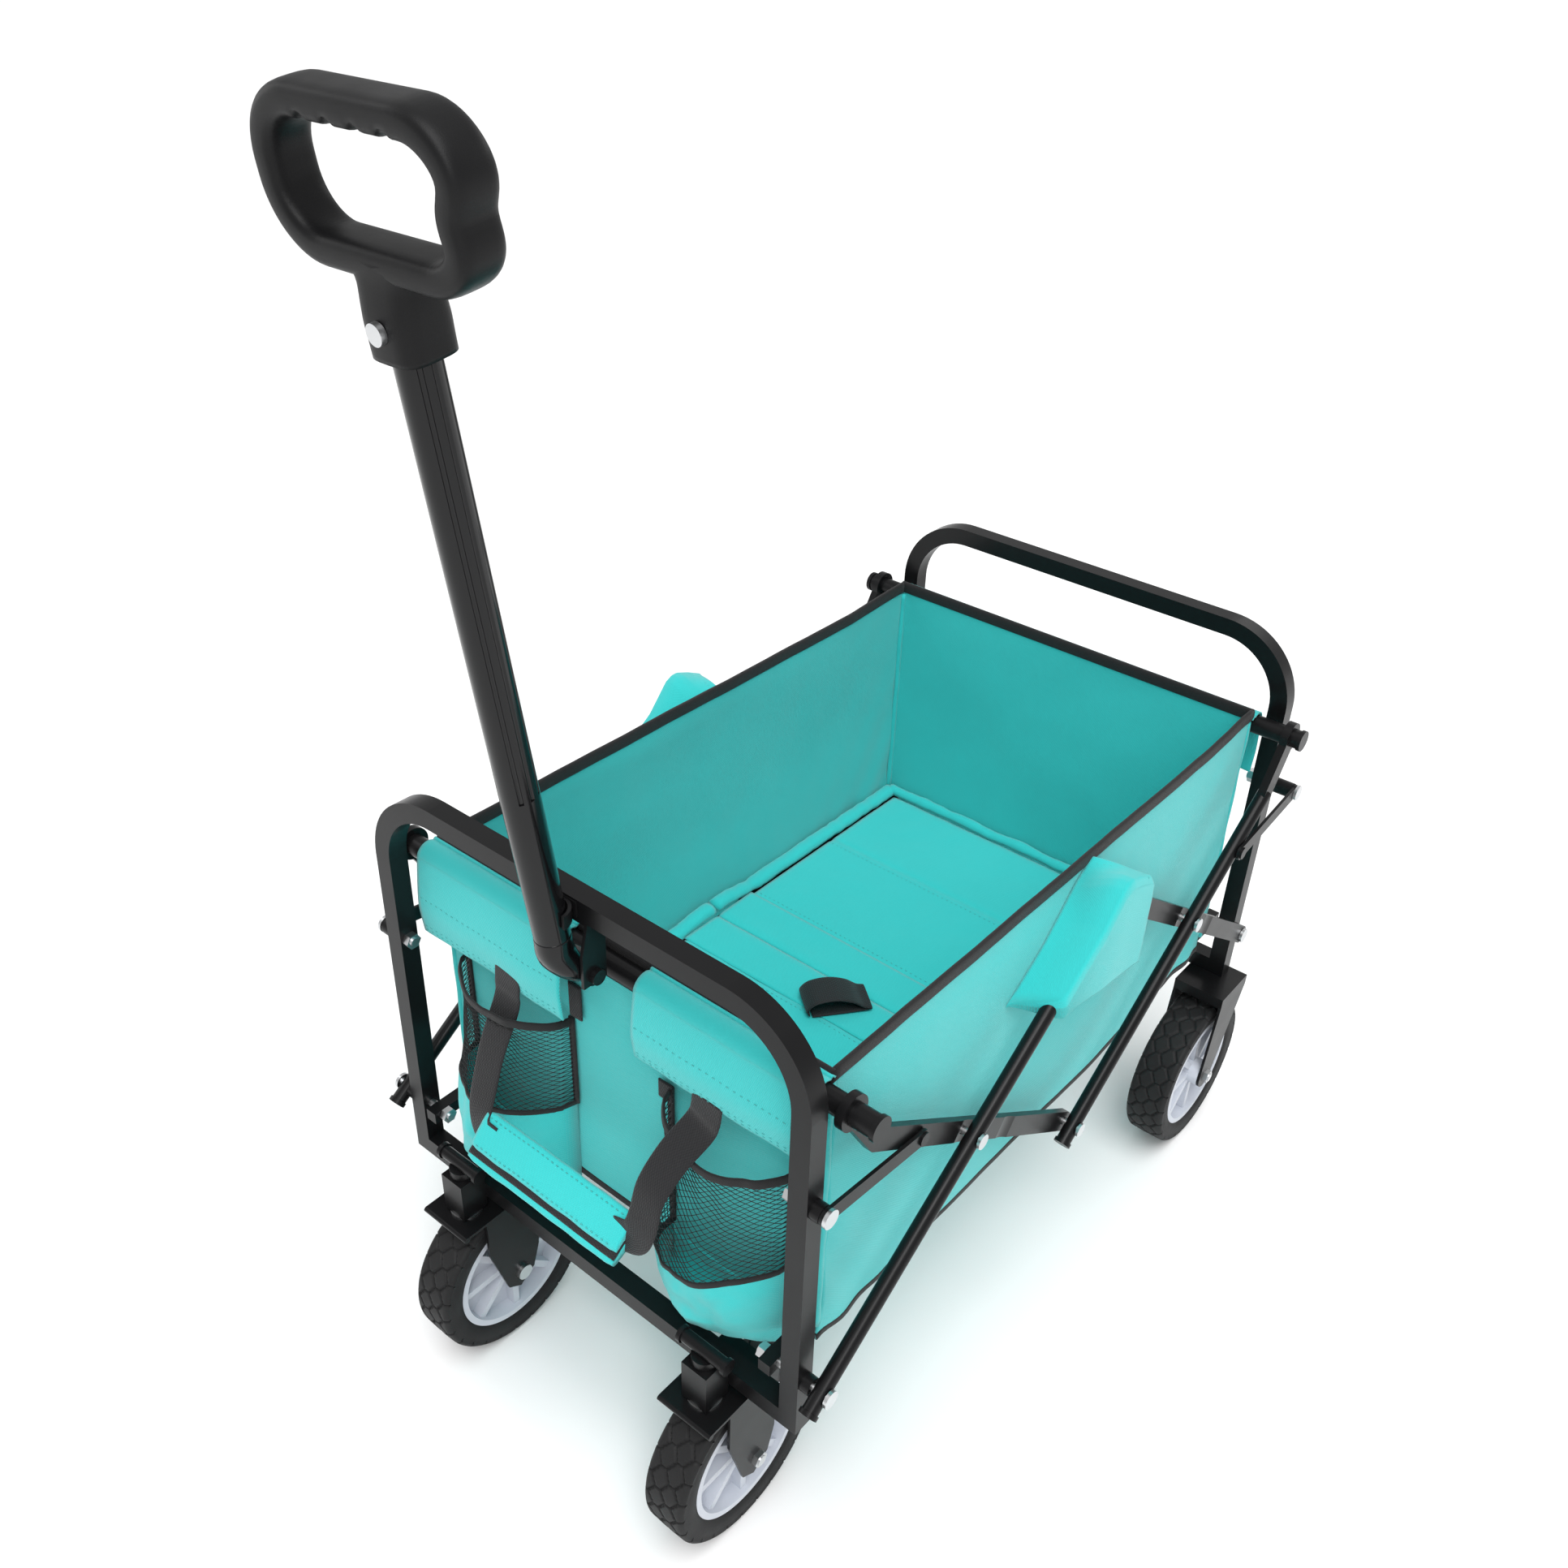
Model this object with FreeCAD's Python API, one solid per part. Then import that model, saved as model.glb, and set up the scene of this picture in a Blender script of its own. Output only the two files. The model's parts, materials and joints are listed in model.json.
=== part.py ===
import math
import os

import FreeCAD
import Part

# Folding beach cart. Millimetres, +Z up, +Y towards the rear, -Y towards the pull handle.
# Everything is drawn about the cart's middle (y = 0) and moved on export, so that the
# origin lies on the floor under the middle of the whole cart.

# ---------------------------------------------------------------- driving dimensions
origin_shift_y = 39.48        # the leaning handle reaches further forward than the rear wheels reach back
hoop_width = 470.0           # outside width of both hoops
tube = 18.0                  # square hoop tube
tube_wall = 1.5
hoop_y = 375.0               # hoop centre planes stand at -hoop_y and +hoop_y
post_foot_z = 200.0
hoop_top_z = 621.0
hoop_corner_r = 78.0

pivot_z = 260.0              # bars A and D are pinned to the posts here
joint_top_z = 525.0          # bars A and D meet above the middle
bar_height = 20.0
bar_x0 = 235.6               # flat bars B and D run just outside the posts
bar_x1 = 242.6
round_x = 251.0              # round bars A and C run outside the flat ones
round_r = 7.0
link_z = 456.0               # short stay links leave the posts here
link_reach = 144.0           # distance from a bar's upper end to its stay link
rail_dy = 30.0               # top rails stand inside the hoops by this much
rail_z = 532.0
rail_r = 9.5
rail_half = 262.0

wheel_r = 89.0
wheel_w = 44.0
tyre_inner_r = 66.0
axle_r = 5.0
running_gap = 0.05
caster_x = 150.0
caster_y = -397.5
caster_trail = 35.0
rear_wheel_x = 226.0
fork_y = 360.0
rear_axle_y = 330.0

wall_x = 214.0               # outside of the fabric side walls
fabric = 2.5
basket_floor_z = 268.0
rim_z = 541.0
pad_x = 194.0
pad_hinge_y = 321.0
pad_end_y = 49.0
pad_t = 9.0
floor_rail_len = 325.0
floor_rail_x = 203.0
floor_rail = 12.0

handle_pivot_y = -378.0
handle_pivot_z = 552.0
handle_elbow_y = -396.5
handle_elbow_z = 578.0
handle_lean_deg = 8.5
handle_tube_r = 14.0
handle_tube_len = 493.0

Vector = FreeCAD.Vector
X = Vector(1, 0, 0)
Y = Vector(0, 1, 0)
Z = Vector(0, 0, 1)
half_w = hoop_width / 2
bar_len = math.hypot(hoop_y, joint_top_z - pivot_z)
bar_deg = math.degrees(math.atan2(joint_top_z - pivot_z, hoop_y))
rail_y = hoop_y - rail_dy


os.makedirs("parts", exist_ok=True)


# ---------------------------------------------------------------- helpers
def box(x0, x1, y0, y1, z0, z1):
    return Part.makeBox(x1 - x0, y1 - y0, z1 - z0, Vector(x0, y0, z0))


def rod(r, length, start, axis):
    return Part.makeCylinder(r, length, start, axis)


def x_rod(r, x0, x1, y, z):
    return rod(r, x1 - x0, Vector(x0, y, z), X)


def z_rod(r, z0, z1, x, y):
    return rod(r, z1 - z0, Vector(x, y, z0), Z)


def prism(points, direction):
    wire = Part.makePolygon(points + [points[0]])
    return Part.Face(wire).extrude(direction)


def yz_prism(points, x0, x1):
    return prism([Vector(x0, y, z) for y, z in points], Vector(x1 - x0, 0, 0))


def turn_x(shape, degrees, y=0.0, z=0.0):
    moved = shape.copy()
    moved.rotate(Vector(0, y, z), X, degrees)
    return moved


def shifted(shape, x=0.0, y=0.0, z=0.0):
    moved = shape.copy()
    moved.translate(Vector(x, y, z))
    return moved


def mirrored_x(shape):
    return shape.mirror(Vector(0, 0, 0), X)


def mirrored_y(shape):
    return shape.mirror(Vector(0, 0, 0), Y)


def fuse(shapes):
    whole = shapes[0]
    for shape in shapes[1:]:
        whole = whole.fuse(shape)
    return whole.removeSplitter()


def both_sides(shape):
    return [shape, mirrored_x(shape)]


def save(name, shapes):
    solids = shapes if isinstance(shapes, list) else [shapes]
    whole = solids[0] if len(solids) == 1 else Part.makeCompound(solids)
    shifted(whole, y=origin_shift_y).exportStep("parts/" + name + ".step")


def save_sides(name, shape):
    save(name + "_right", shape)
    save(name + "_left", mirrored_x(shape))


# ---------------------------------------------------------------- hoops and crossbars
def arch_face(half, top, corner, foot):
    """Outline of an arch in the XZ plane: two legs, two round corners and a straight top."""
    k = corner * (1 - math.sqrt(0.5))
    edges = [
        Part.makeLine(Vector(-half, 0, foot), Vector(-half, 0, top - corner)),
        Part.Arc(Vector(-half, 0, top - corner), Vector(-half + k, 0, top - k),
                 Vector(-half + corner, 0, top)).toShape(),
        Part.makeLine(Vector(-half + corner, 0, top), Vector(half - corner, 0, top)),
        Part.Arc(Vector(half - corner, 0, top), Vector(half - k, 0, top - k),
                 Vector(half, 0, top - corner)).toShape(),
        Part.makeLine(Vector(half, 0, top - corner), Vector(half, 0, foot)),
        Part.makeLine(Vector(half, 0, foot), Vector(-half, 0, foot)),
    ]
    return Part.Face(Part.Wire(edges))


def arch_ring(inset, depth, foot):
    outer = arch_face(half_w - inset, hoop_top_z - inset, hoop_corner_r - inset, foot)
    inner = arch_face(half_w - tube + inset, hoop_top_z - tube + inset,
                      hoop_corner_r - tube + inset, foot - 1)
    solid = outer.extrude(Vector(0, depth, 0)).cut(inner.extrude(Vector(0, depth, 0)))
    return shifted(solid, y=-depth / 2)


def hoop(bosses):
    """Square-tube hoop about y = 0 with closed feet; bosses gives each pin's height and boss end x."""
    shell = arch_ring(0.0, tube, post_foot_z)
    bore = arch_ring(tube_wall, tube - 2 * tube_wall, post_foot_z + 3)
    shell = shell.cut(bore)
    for z, boss_x in bosses:
        for boss in both_sides(x_rod(8.0, half_w - 0.5, boss_x, 0, z)):
            shell = shell.fuse(boss)
        shell = shell.cut(x_rod(4.0, -boss_x - 1, boss_x + 1, 0, z))
    return shell


def crossbar():
    outer = box(-half_w + tube, half_w - tube, -tube / 2, tube / 2, post_foot_z, post_foot_z + tube)
    inner = box(-half_w + tube, half_w - tube, -tube / 2 + tube_wall, tube / 2 - tube_wall,
                post_foot_z + tube_wall, post_foot_z + tube - tube_wall)
    return outer.cut(inner)


link_t = 3.0
front_link_x = round_x - round_r
rear_link_x = round_x + round_r + 0.5
front_bosses = [(pivot_z, front_link_x - 0.3), (link_z, front_link_x - 0.3)]
rear_bosses = [(pivot_z, bar_x0 - 0.3), (link_z, rear_link_x - 0.3)]
save("front_hoop", shifted(hoop(front_bosses), y=-hoop_y))
save("rear_hoop", shifted(hoop(rear_bosses), y=hoop_y))
save("front_crossbar", shifted(crossbar(), y=-hoop_y))
save("rear_crossbar", shifted(crossbar(), y=hoop_y))


# ---------------------------------------------------------------- pins held in the posts
def post_bolt(y, z, outer_x, inner_x):
    """Bolt along X through a post: shank, domed outer head and a hexagon nut inside."""
    shank = x_rod(4.0, inner_x - 8, outer_x, y, z)
    head = x_rod(8.0, outer_x, outer_x + 3, y, z)
    corners = [(y + 7.5 * math.cos(i * math.pi / 3), z + 7.5 * math.sin(i * math.pi / 3))
               for i in range(6)]
    nut = yz_prism(corners, inner_x - 6.5, inner_x)
    return fuse([shank, head, nut])


rail_side_x = floor_rail_x - floor_rail / 2 - 0.4
front_bolts = [
    post_bolt(-hoop_y, pivot_z, round_x + round_r + 0.4, rail_side_x),
    post_bolt(-hoop_y, link_z, front_link_x + link_t + 0.3, half_w - tube),
]
rear_bolts = [
    post_bolt(hoop_y, pivot_z, bar_x1 + 0.4, rail_side_x),
    post_bolt(hoop_y, link_z, rear_link_x + link_t + 0.3, half_w - tube),
]
save("front_pivot_bolts", front_bolts + [mirrored_x(b) for b in front_bolts])
save("rear_pivot_bolts", rear_bolts + [mirrored_x(b) for b in rear_bolts])


# ---------------------------------------------------------------- scissor bars
def flat_bar(length):
    """Flat bar along +Y from the origin, drawn at its own x, pinched where it is pinned."""
    half = bar_height / 2
    body = box(bar_x0, bar_x1, 0, length, -half, half)
    for end in (0, length):
        body = body.fuse(x_rod(half, bar_x0, bar_x1, end, 0))
    pinch_r = 60.0
    for s in (length * 0.5, length - link_reach):
        body = body.cut(rod(pinch_r, bar_height + 2, Vector(bar_x1 + pinch_r - 1.2, s, -half - 1), Z))
    for s in (0, length / 2, length):
        body = body.cut(x_rod(4.05, bar_x0 - 1, bar_x1 + 1, s, 0))
    return body


def round_bar(length, end_over):
    """Round tube along +Y with pin holes at both ends and the middle, overhanging by end_over."""
    x0 = round_x - round_r
    body = rod(round_r, length + end_over * 2, Vector(round_x, -end_over, 0), Y)
    body = body.cut(rod(round_r - 1.2, length + end_over * 2 - 4, Vector(round_x, -end_over + 2, 0), Y))
    body = body.fuse(rod(round_r + 1.2, 4.0, Vector(round_x, -end_over - 4, 0), Y))
    for s in (0, length / 2, length):
        body = body.cut(x_rod(4.05, x0 - 1, x0 + 2 * round_r + 1, s, 0))
    return body


def place_up(shape, y0, z0):
    """Bar drawn along +Y, placed from (y0, z0) rising to the rear."""
    return shifted(turn_x(shape, bar_deg), y=y0, z=z0)


def place_down(shape, y0, z0):
    """Bar drawn along +Y, placed from (y0, z0) falling to the rear."""
    return shifted(turn_x(shape, -bar_deg), y=y0, z=z0)


overhang = 16.0
bar_a = place_up(round_bar(bar_len, overhang), -hoop_y, pivot_z)

# Bar D falls from the top middle joint to the rear post.
bar_d = place_down(flat_bar(bar_len), 0, joint_top_z)


def rail_eye(y, x0, x1):
    """Eye that turns on a top rail, with a neck down to the bar's own line."""
    sign = 1 if y > 0 else -1
    eye = x_rod(15.0, x0, x1, y, rail_z)
    foot_y = sign * (hoop_y - 62.0)
    foot_z = joint_top_z - 62.0 * math.tan(math.radians(bar_deg))
    along = Vector(0, foot_y - y, foot_z - rail_z)
    across = Vector(0, -along.z, along.y).normalize() * (bar_height / 2)
    near = Vector(x0, y, rail_z)
    far = Vector(x0, foot_y, foot_z)
    neck = prism([near + across, far + across, far - across, near - across], Vector(x1 - x0, 0, 0))
    return fuse([eye, neck, x_rod(bar_height / 2, x0, x1, foot_y, foot_z)])


rail_hole = x_rod(rail_r + running_gap, 200, 300, -rail_y, rail_z)
cut_back = 62.0 / math.cos(math.radians(bar_deg))

# Bar B falls from the front top rail to the bottom middle joint. Its top is cranked back to the rail.
short_b = flat_bar(bar_len).common(box(bar_x0, bar_x1, cut_back, bar_len + 20, -20, 20))
bar_b = fuse([place_down(short_b, -hoop_y, joint_top_z), rail_eye(-rail_y, bar_x0, bar_x1)]).cut(rail_hole)

# Bar C rises from the bottom middle joint to the rear top rail.
eye_x0 = round_x - 4.0
eye_x1 = round_x + 4.0
tube_c = round_bar(bar_len, overhang).common(box(200, 300, -overhang - 5, bar_len - cut_back, -20, 20))
bar_c = fuse([place_up(tube_c, 0, pivot_z), rail_eye(rail_y, eye_x0, eye_x1)])
bar_c = bar_c.cut(mirrored_y(rail_hole))

for letter, bar in (("a", bar_a), ("b", bar_b), ("c", bar_c), ("d", bar_d)):
    save_sides("bar_" + letter, bar)


def rivet(y, z, x0, x1):
    """Rivet through bars lying between x0 and x1, headed at both ends."""
    return fuse([x_rod(4.0, x0 - 0.3, x1 + 0.3, y, z),
                 x_rod(7.0, x0 - 2.3, x0 - 0.3, y, z),
                 x_rod(7.0, x1 + 0.3, x1 + 2.8, y, z)])


mid_z = (pivot_z + joint_top_z) / 2
outer_x = round_x + round_r
rivets_a = [rivet(-hoop_y / 2, mid_z, bar_x0, outer_x), rivet(0, joint_top_z, bar_x0, outer_x)]
rivets_c = [rivet(hoop_y / 2, mid_z, bar_x0, outer_x), rivet(0, pivot_z, bar_x0, outer_x)]
save("rivets_a_right", rivets_a)
save("rivets_a_left", [mirrored_x(r) for r in rivets_a])
save("rivets_c_right", rivets_c)
save("rivets_c_left", [mirrored_x(r) for r in rivets_c])


# ---------------------------------------------------------------- stay links
def stay_link(x0, bar_face_x):
    """Flat link from the front post back to a bar, with its pressed stud; x0 is its inner face."""
    end_y = -hoop_y + link_reach * math.cos(math.radians(bar_deg))
    end_z = joint_top_z - link_reach * math.sin(math.radians(bar_deg))
    start = Vector(x0, -hoop_y, link_z)
    end = Vector(x0, end_y, end_z)
    across = (end - start).cross(X).normalize() * 7.0
    plate = prism([start + across, end + across, end - across, start - across], Vector(link_t, 0, 0))
    parts = [plate]
    for y, z in ((-hoop_y, link_z), (end_y, end_z)):
        parts.append(x_rod(7.5, x0, x0 + link_t, y, z))
    parts.append(x_rod(6.0, x0 + link_t, x0 + link_t + 1.8, end_y, end_z))
    if x0 - bar_face_x > 0.8:
        parts.append(x_rod(6.5, bar_face_x + 0.4, x0, end_y, end_z))
    return fuse(parts).cut(x_rod(4.05, x0 - 1, x0 + link_t + 1, -hoop_y, link_z))


link_front = stay_link(front_link_x, bar_x1)
link_rear = mirrored_y(stay_link(rear_link_x, outer_x))
save("stay_links_front", both_sides(link_front))
save("stay_links_rear", both_sides(link_rear))

# ---------------------------------------------------------------- top rails
def top_rail(y):
    ends = [x_rod(rail_r + 1.2, rail_half, rail_half + 4, y, rail_z)]
    ends.append(mirrored_x(ends[0]))
    body = fuse([x_rod(rail_r, -rail_half, rail_half, y, rail_z)] + ends)
    return body.cut(x_rod(rail_r - 1.2, -rail_half + 2, rail_half - 2, y, rail_z))


save("front_top_rail", top_rail(-rail_y))
save("rear_top_rail", top_rail(rail_y))

# ---------------------------------------------------------------- front casters
housing_foot_z = 188.6
housing_top_z = 232.0
housing_half = 13.5
stem_r = 6.0


def caster_housing():
    """Square post on the crossbar's front face, with a short capped cross tube on its top."""
    y1 = -hoop_y - tube / 2
    block = box(caster_x - housing_half, caster_x + housing_half, y1 - 2 * housing_half, y1,
                housing_foot_z, housing_top_z)
    collar = z_rod(11.5, housing_top_z, housing_top_z + 9, caster_x, caster_y)
    cross = x_rod(6.0, caster_x - 24, caster_x + 24, caster_y, housing_top_z + 13)
    ends = [x_rod(7.5, caster_x + s * 24 - 2, caster_x + s * 24 + 2, caster_y, housing_top_z + 13)
            for s in (-1, 1)]
    body = fuse([block, collar, cross] + ends)
    return body.cut(z_rod(stem_r + running_gap, housing_foot_z - 1, 226.0, caster_x, caster_y))


save("caster_housings", both_sides(caster_housing()))
washer = z_rod(15.0, 186.3, 188.3, caster_x, caster_y)
washer = washer.cut(z_rod(stem_r + 0.5, 186, 189, caster_x, caster_y))
save("swivel_washers", both_sides(washer))

cheek_in = wheel_w / 2 + 4.0
cheek_out = cheek_in + 3.0
axle_y = caster_y + caster_trail


def yoke():
    top_half = 36.0
    plate = box(caster_x - cheek_out, caster_x + cheek_out, caster_y - 24, axle_y + 26, 183.3, 186.3)
    rounded = x_rod(3.0, caster_x - cheek_out, caster_x + cheek_out, caster_y - 24, 183.3)
    cheeks = []
    front = axle_y - top_half
    for x0, x1 in ((caster_x + cheek_in, caster_x + cheek_out),
                   (caster_x - cheek_out, caster_x - cheek_in)):
        poly = yz_prism([(front, 184), (axle_y + 26, 184), (axle_y + 22, 110), (axle_y + 14, 84),
                         (axle_y - 4, 71), (axle_y - 18, 80), (front, 140)], x0, x1)
        cheeks.append(poly)
    stem = z_rod(stem_r, 186, 225.0, caster_x, caster_y)
    body = fuse([plate, rounded, stem] + cheeks)
    return body.cut(x_rod(axle_r, caster_x - 40, caster_x + 40, axle_y, wheel_r))


def axle_bolt(x, y, reach):
    head = x_rod(8.0, x - reach - 4, x - reach, y, wheel_r)
    shank = x_rod(axle_r, x - reach, x + reach + 6, y, wheel_r)
    corners = [(y + 8.0 * math.cos(i * math.pi / 3), wheel_r + 8.0 * math.sin(i * math.pi / 3))
               for i in range(6)]
    nut = yz_prism(corners, x + reach, x + reach + 5)
    return fuse([head, shank, nut])


save_sides("caster_yoke", yoke())
save_sides("caster_axle", axle_bolt(caster_x, axle_y, cheek_out))


# ---------------------------------------------------------------- rear forks
def rear_fork():
    """Box fork under the rear post: closed top, cheeks that taper forward to the axle."""
    x_in = rear_wheel_x + cheek_in
    x_out = rear_wheel_x + cheek_out
    y0 = fork_y - 30
    y1 = fork_y + 30
    top = box(rear_wheel_x - cheek_out, x_out, y0, y1, 187, post_foot_z)
    inner = box(rear_wheel_x - cheek_in, x_in, y0 + 3, y1 - 3, 186, post_foot_z - 3)
    cheeks = []
    outline = [(y0, 188), (y1, 188), (rear_axle_y + 15, wheel_r), (rear_axle_y - 15, wheel_r)]
    for x0, x1 in ((x_in, x_out), (rear_wheel_x - cheek_out, rear_wheel_x - cheek_in)):
        plate = yz_prism(outline, x0, x1)
        plate = plate.fuse(x_rod(15.0, x0, x1, rear_axle_y, wheel_r))
        cheeks.append(plate.cut(x_rod(axle_r, x0 - 1, x1 + 1, rear_axle_y, wheel_r)))
    return fuse([top.cut(inner)] + cheeks)


save("rear_forks", both_sides(rear_fork()))
save("rear_axles", both_sides(axle_bolt(rear_wheel_x, rear_axle_y, cheek_out)))


# ---------------------------------------------------------------- wheels
def tyre():
    """Tyre about the X axis: rounded shoulders and a flat tread."""
    half = wheel_w / 2
    profile = [Vector(-half + 3, 0, tyre_inner_r), Vector(-half, 0, tyre_inner_r + 4),
               Vector(-half, 0, wheel_r - 8), Vector(-half + 3, 0, wheel_r - 2.5),
               Vector(-half + 8, 0, wheel_r), Vector(half - 8, 0, wheel_r),
               Vector(half - 3, 0, wheel_r - 2.5), Vector(half, 0, wheel_r - 8),
               Vector(half, 0, tyre_inner_r + 4), Vector(half - 3, 0, tyre_inner_r)]
    face = Part.Face(Part.makePolygon(profile + [profile[0]]))
    return face.revolve(Vector(0, 0, 0), X, 360)


def hub():
    """Moulded wheel: rim, recessed web, spokes and a bored boss."""
    half = wheel_w / 2 - 3.0
    rim = x_rod(tyre_inner_r, -half, half, 0, 0).cut(x_rod(tyre_inner_r - 6, -half - 1, half + 1, 0, 0))
    web = x_rod(tyre_inner_r - 3, -3, 3, 0, 0)
    boss = x_rod(15.0, -wheel_w / 2 - 3.6, wheel_w / 2 + 3.6, 0, 0)
    spokes = []
    for i in range(8):
        spoke = box(-half + 5, half - 5, -3.5, 3.5, 10, tyre_inner_r - 4)
        spokes.append(turn_x(spoke, i * 45))
    body = fuse([rim, web, boss] + spokes)
    return body.cut(x_rod(axle_r + running_gap, -40, 40, 0, 0))


def place_wheel(shape, x, y):
    return shifted(shape, x=x, y=y, z=wheel_r)


one_tyre = tyre()
one_hub = hub()
for name, x, y in (("front_right", caster_x, axle_y), ("front_left", -caster_x, axle_y),
                   ("rear_right", rear_wheel_x, rear_axle_y), ("rear_left", -rear_wheel_x, rear_axle_y)):
    save("tyre_" + name, place_wheel(one_tyre, x, y))
    save("hub_" + name, place_wheel(one_hub, x, y))


# ---------------------------------------------------------------- floor rails and pads
def floor_rail_bar():
    """Square floor rail from the front post's pin back towards the middle."""
    half = floor_rail / 2
    bar = box(floor_rail_x - half, floor_rail_x + half, -hoop_y - 12, -hoop_y + floor_rail_len,
              pivot_z - half, pivot_z + half)
    return bar.cut(x_rod(4.05, floor_rail_x - half - 1, floor_rail_x + half + 1, -hoop_y, pivot_z))


save("floor_rails_front", both_sides(floor_rail_bar()))
save("floor_rails_rear", both_sides(mirrored_y(floor_rail_bar())))
pad_z = pivot_z + floor_rail / 2
pad_front = box(-pad_x, pad_x, -pad_hinge_y, -pad_end_y, pad_z, basket_floor_z + pad_t)
save("floor_pad_front", pad_front)
save("floor_pad_rear", mirrored_y(pad_front))
gusset = box(-pad_x, pad_x, -pad_end_y + 0.3, pad_end_y - 0.3,
             basket_floor_z + pad_t - 3, basket_floor_z + pad_t)
save("floor_gusset", gusset)

# Looped pull strap that folds the cart, sewn in the middle of the floor.
strap_y = -20.0
strap_z = basket_floor_z + pad_t + 13.5
strap_outer = x_rod(15.0, -32, 6, strap_y, strap_z)
strap_inner = x_rod(13.0, -33, 7, strap_y, strap_z)
strap_cut = box(-33, 7, strap_y - 40, strap_y + 40, 0, basket_floor_z + pad_t)
save("floor_strap", strap_outer.cut(strap_inner).cut(strap_cut))

# ---------------------------------------------------------------- basket fabric
panel_x = pad_x
wrap_r = rail_r + 0.3


def end_panel():
    """Front end panel: hangs behind the front rail, wraps over it and falls in front."""
    y_in = -rail_y + wrap_r
    back = box(-panel_x, panel_x, y_in, y_in + fabric, basket_floor_z + pad_t + 1, rail_z)
    front = box(-panel_x, panel_x, -rail_y - wrap_r - fabric, -rail_y - wrap_r, 470, rail_z)
    over = x_rod(wrap_r + fabric, -panel_x, panel_x, -rail_y, rail_z)
    over = over.cut(x_rod(wrap_r, -panel_x - 1, panel_x + 1, -rail_y, rail_z))
    over = over.cut(box(-300, 300, -500, 0, 400, rail_z))
    return fuse([back, front, over])


sleeve_gap = box(-40, 40, -450, -rail_y + wrap_r, 460, 600)
save("panel_front", end_panel().cut(sleeve_gap))
save("panel_rear", mirrored_y(end_panel()))

wall_y = rail_y - wrap_r - fabric - 1.0
side_wall = box(wall_x - fabric, wall_x, -wall_y, wall_y, pivot_z - 15, rim_z)
save_sides("side_wall", side_wall)
binding = box(wall_x - fabric - 1.5, wall_x + 1.5, -wall_y, wall_y, rim_z + 0.3, rim_z + 6)
save("rim_bindings", both_sides(binding))

flap_half = 128.0


def side_flap():
    """Hood over the top middle joint: sewn along two slanting edges, with a rounded lower edge."""
    x0 = outer_x + 4.0
    x1 = x0 + fabric
    top = 552.0
    shell = [(0, top), (flap_half, top - 84), (flap_half, 452), (flap_half / 2, 434), (0, 430),
             (-flap_half / 2, 434), (-flap_half, 452), (-flap_half, top - 84)]
    roof = [(0, top), (flap_half, top - 84), (flap_half, top - 84 - fabric), (0, top - fabric),
            (-flap_half, top - 84 - fabric), (-flap_half, top - 84)]
    return fuse([yz_prism(shell, x0, x1), yz_prism(roof, wall_x + 2.4, x1)])


save("side_flaps", both_sides(side_flap()))

# ---------------------------------------------------------------- front pockets and carry handle
pocket_inner_x = 58.0
pocket_outer_x = 187.0
pocket_back_y = -rail_y + wrap_r - 0.3
pocket_front = [(-358, 430), (-366, 370), (-384, 320), (-392, 290), (-384, 262), (-362, 240)]


def pocket():
    """Open-topped pouch sewn on the front panel, bulging forward towards its base."""
    back = [(pocket_back_y, 236), (pocket_back_y, 430)]
    outer = yz_prism(pocket_front + back, pocket_inner_x, pocket_outer_x)
    inset = [(y + fabric, z + (fabric if z < 300 else 0)) for y, z in pocket_front]
    inset[0] = (-358 + fabric, 440)
    hollow = yz_prism(inset + [(pocket_back_y - fabric, 236 + 2 * fabric), (pocket_back_y - fabric, 440)],
                      pocket_inner_x + fabric, pocket_outer_x - fabric)
    return outer.cut(hollow)


save_sides("pocket", pocket())

strap_half = 12.5
strap_t = 2.0
wrap_y = -414.0
wrap_z = 335.0
strap_path = [(-358.5, 466), (-359, 438), (-367, 422), (-380, 385), (-396, 358), (wrap_y, wrap_z + 6)]


def carry_strap(x_top, x_low):
    """Webbing strap falling from under the front sleeve to the carry handle."""
    pieces = []
    z_top = strap_path[0][1]
    z_low = strap_path[-1][1]
    for (ya, za), (yb, zb) in zip(strap_path, strap_path[1:]):
        xa = x_low + (x_top - x_low) * (za - z_low) / (z_top - z_low)
        xb = x_low + (x_top - x_low) * (zb - z_low) / (z_top - z_low)
        quad = [Vector(xa - strap_half, ya, za), Vector(xa + strap_half, ya, za),
                Vector(xb + strap_half, yb, zb), Vector(xb - strap_half, yb, zb)]
        pieces.append(prism(quad, Vector(0, -strap_t, 0)))
    return fuse(pieces)


straps = [carry_strap(-106, -92), carry_strap(116, 78)]
save("carry_straps", straps)
carry_wrap = x_rod(14.0, -108, 95, wrap_y, wrap_z).cut(straps[0]).cut(straps[1])
save("carry_wrap", carry_wrap)

# ---------------------------------------------------------------- pull handle
bar_front_y = -hoop_y - tube / 2
bar_low_z = hoop_top_z - tube


def handle_bracket():
    """Two cheeks and a cross plate welded under the hoop's top bar."""
    cheeks = []
    for x0 in (-22.0, 19.0):
        plate = yz_prism([(-390, 545), (-366.5, 545), (-366.5, bar_low_z), (-383.5, bar_low_z),
                          (-390, 575)], x0, x0 + 3)
        cheeks.append(plate.fuse(x_rod(9.0, x0, x0 + 3, handle_pivot_y, handle_pivot_z)))
    web = box(-22, 22, -383.5, -366.5, bar_low_z - 3, bar_low_z)
    body = fuse(cheeks + [web])
    return body.cut(x_rod(4.0, -30, 30, handle_pivot_y, handle_pivot_z))


save("handle_bracket", handle_bracket())
pin = fuse([x_rod(4.0, -24, 24, handle_pivot_y, handle_pivot_z),
            x_rod(6.5, -26.5, -22, handle_pivot_y, handle_pivot_z),
            x_rod(6.5, 22, 26.5, handle_pivot_y, handle_pivot_z)])
save("handle_pin", pin)

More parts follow.
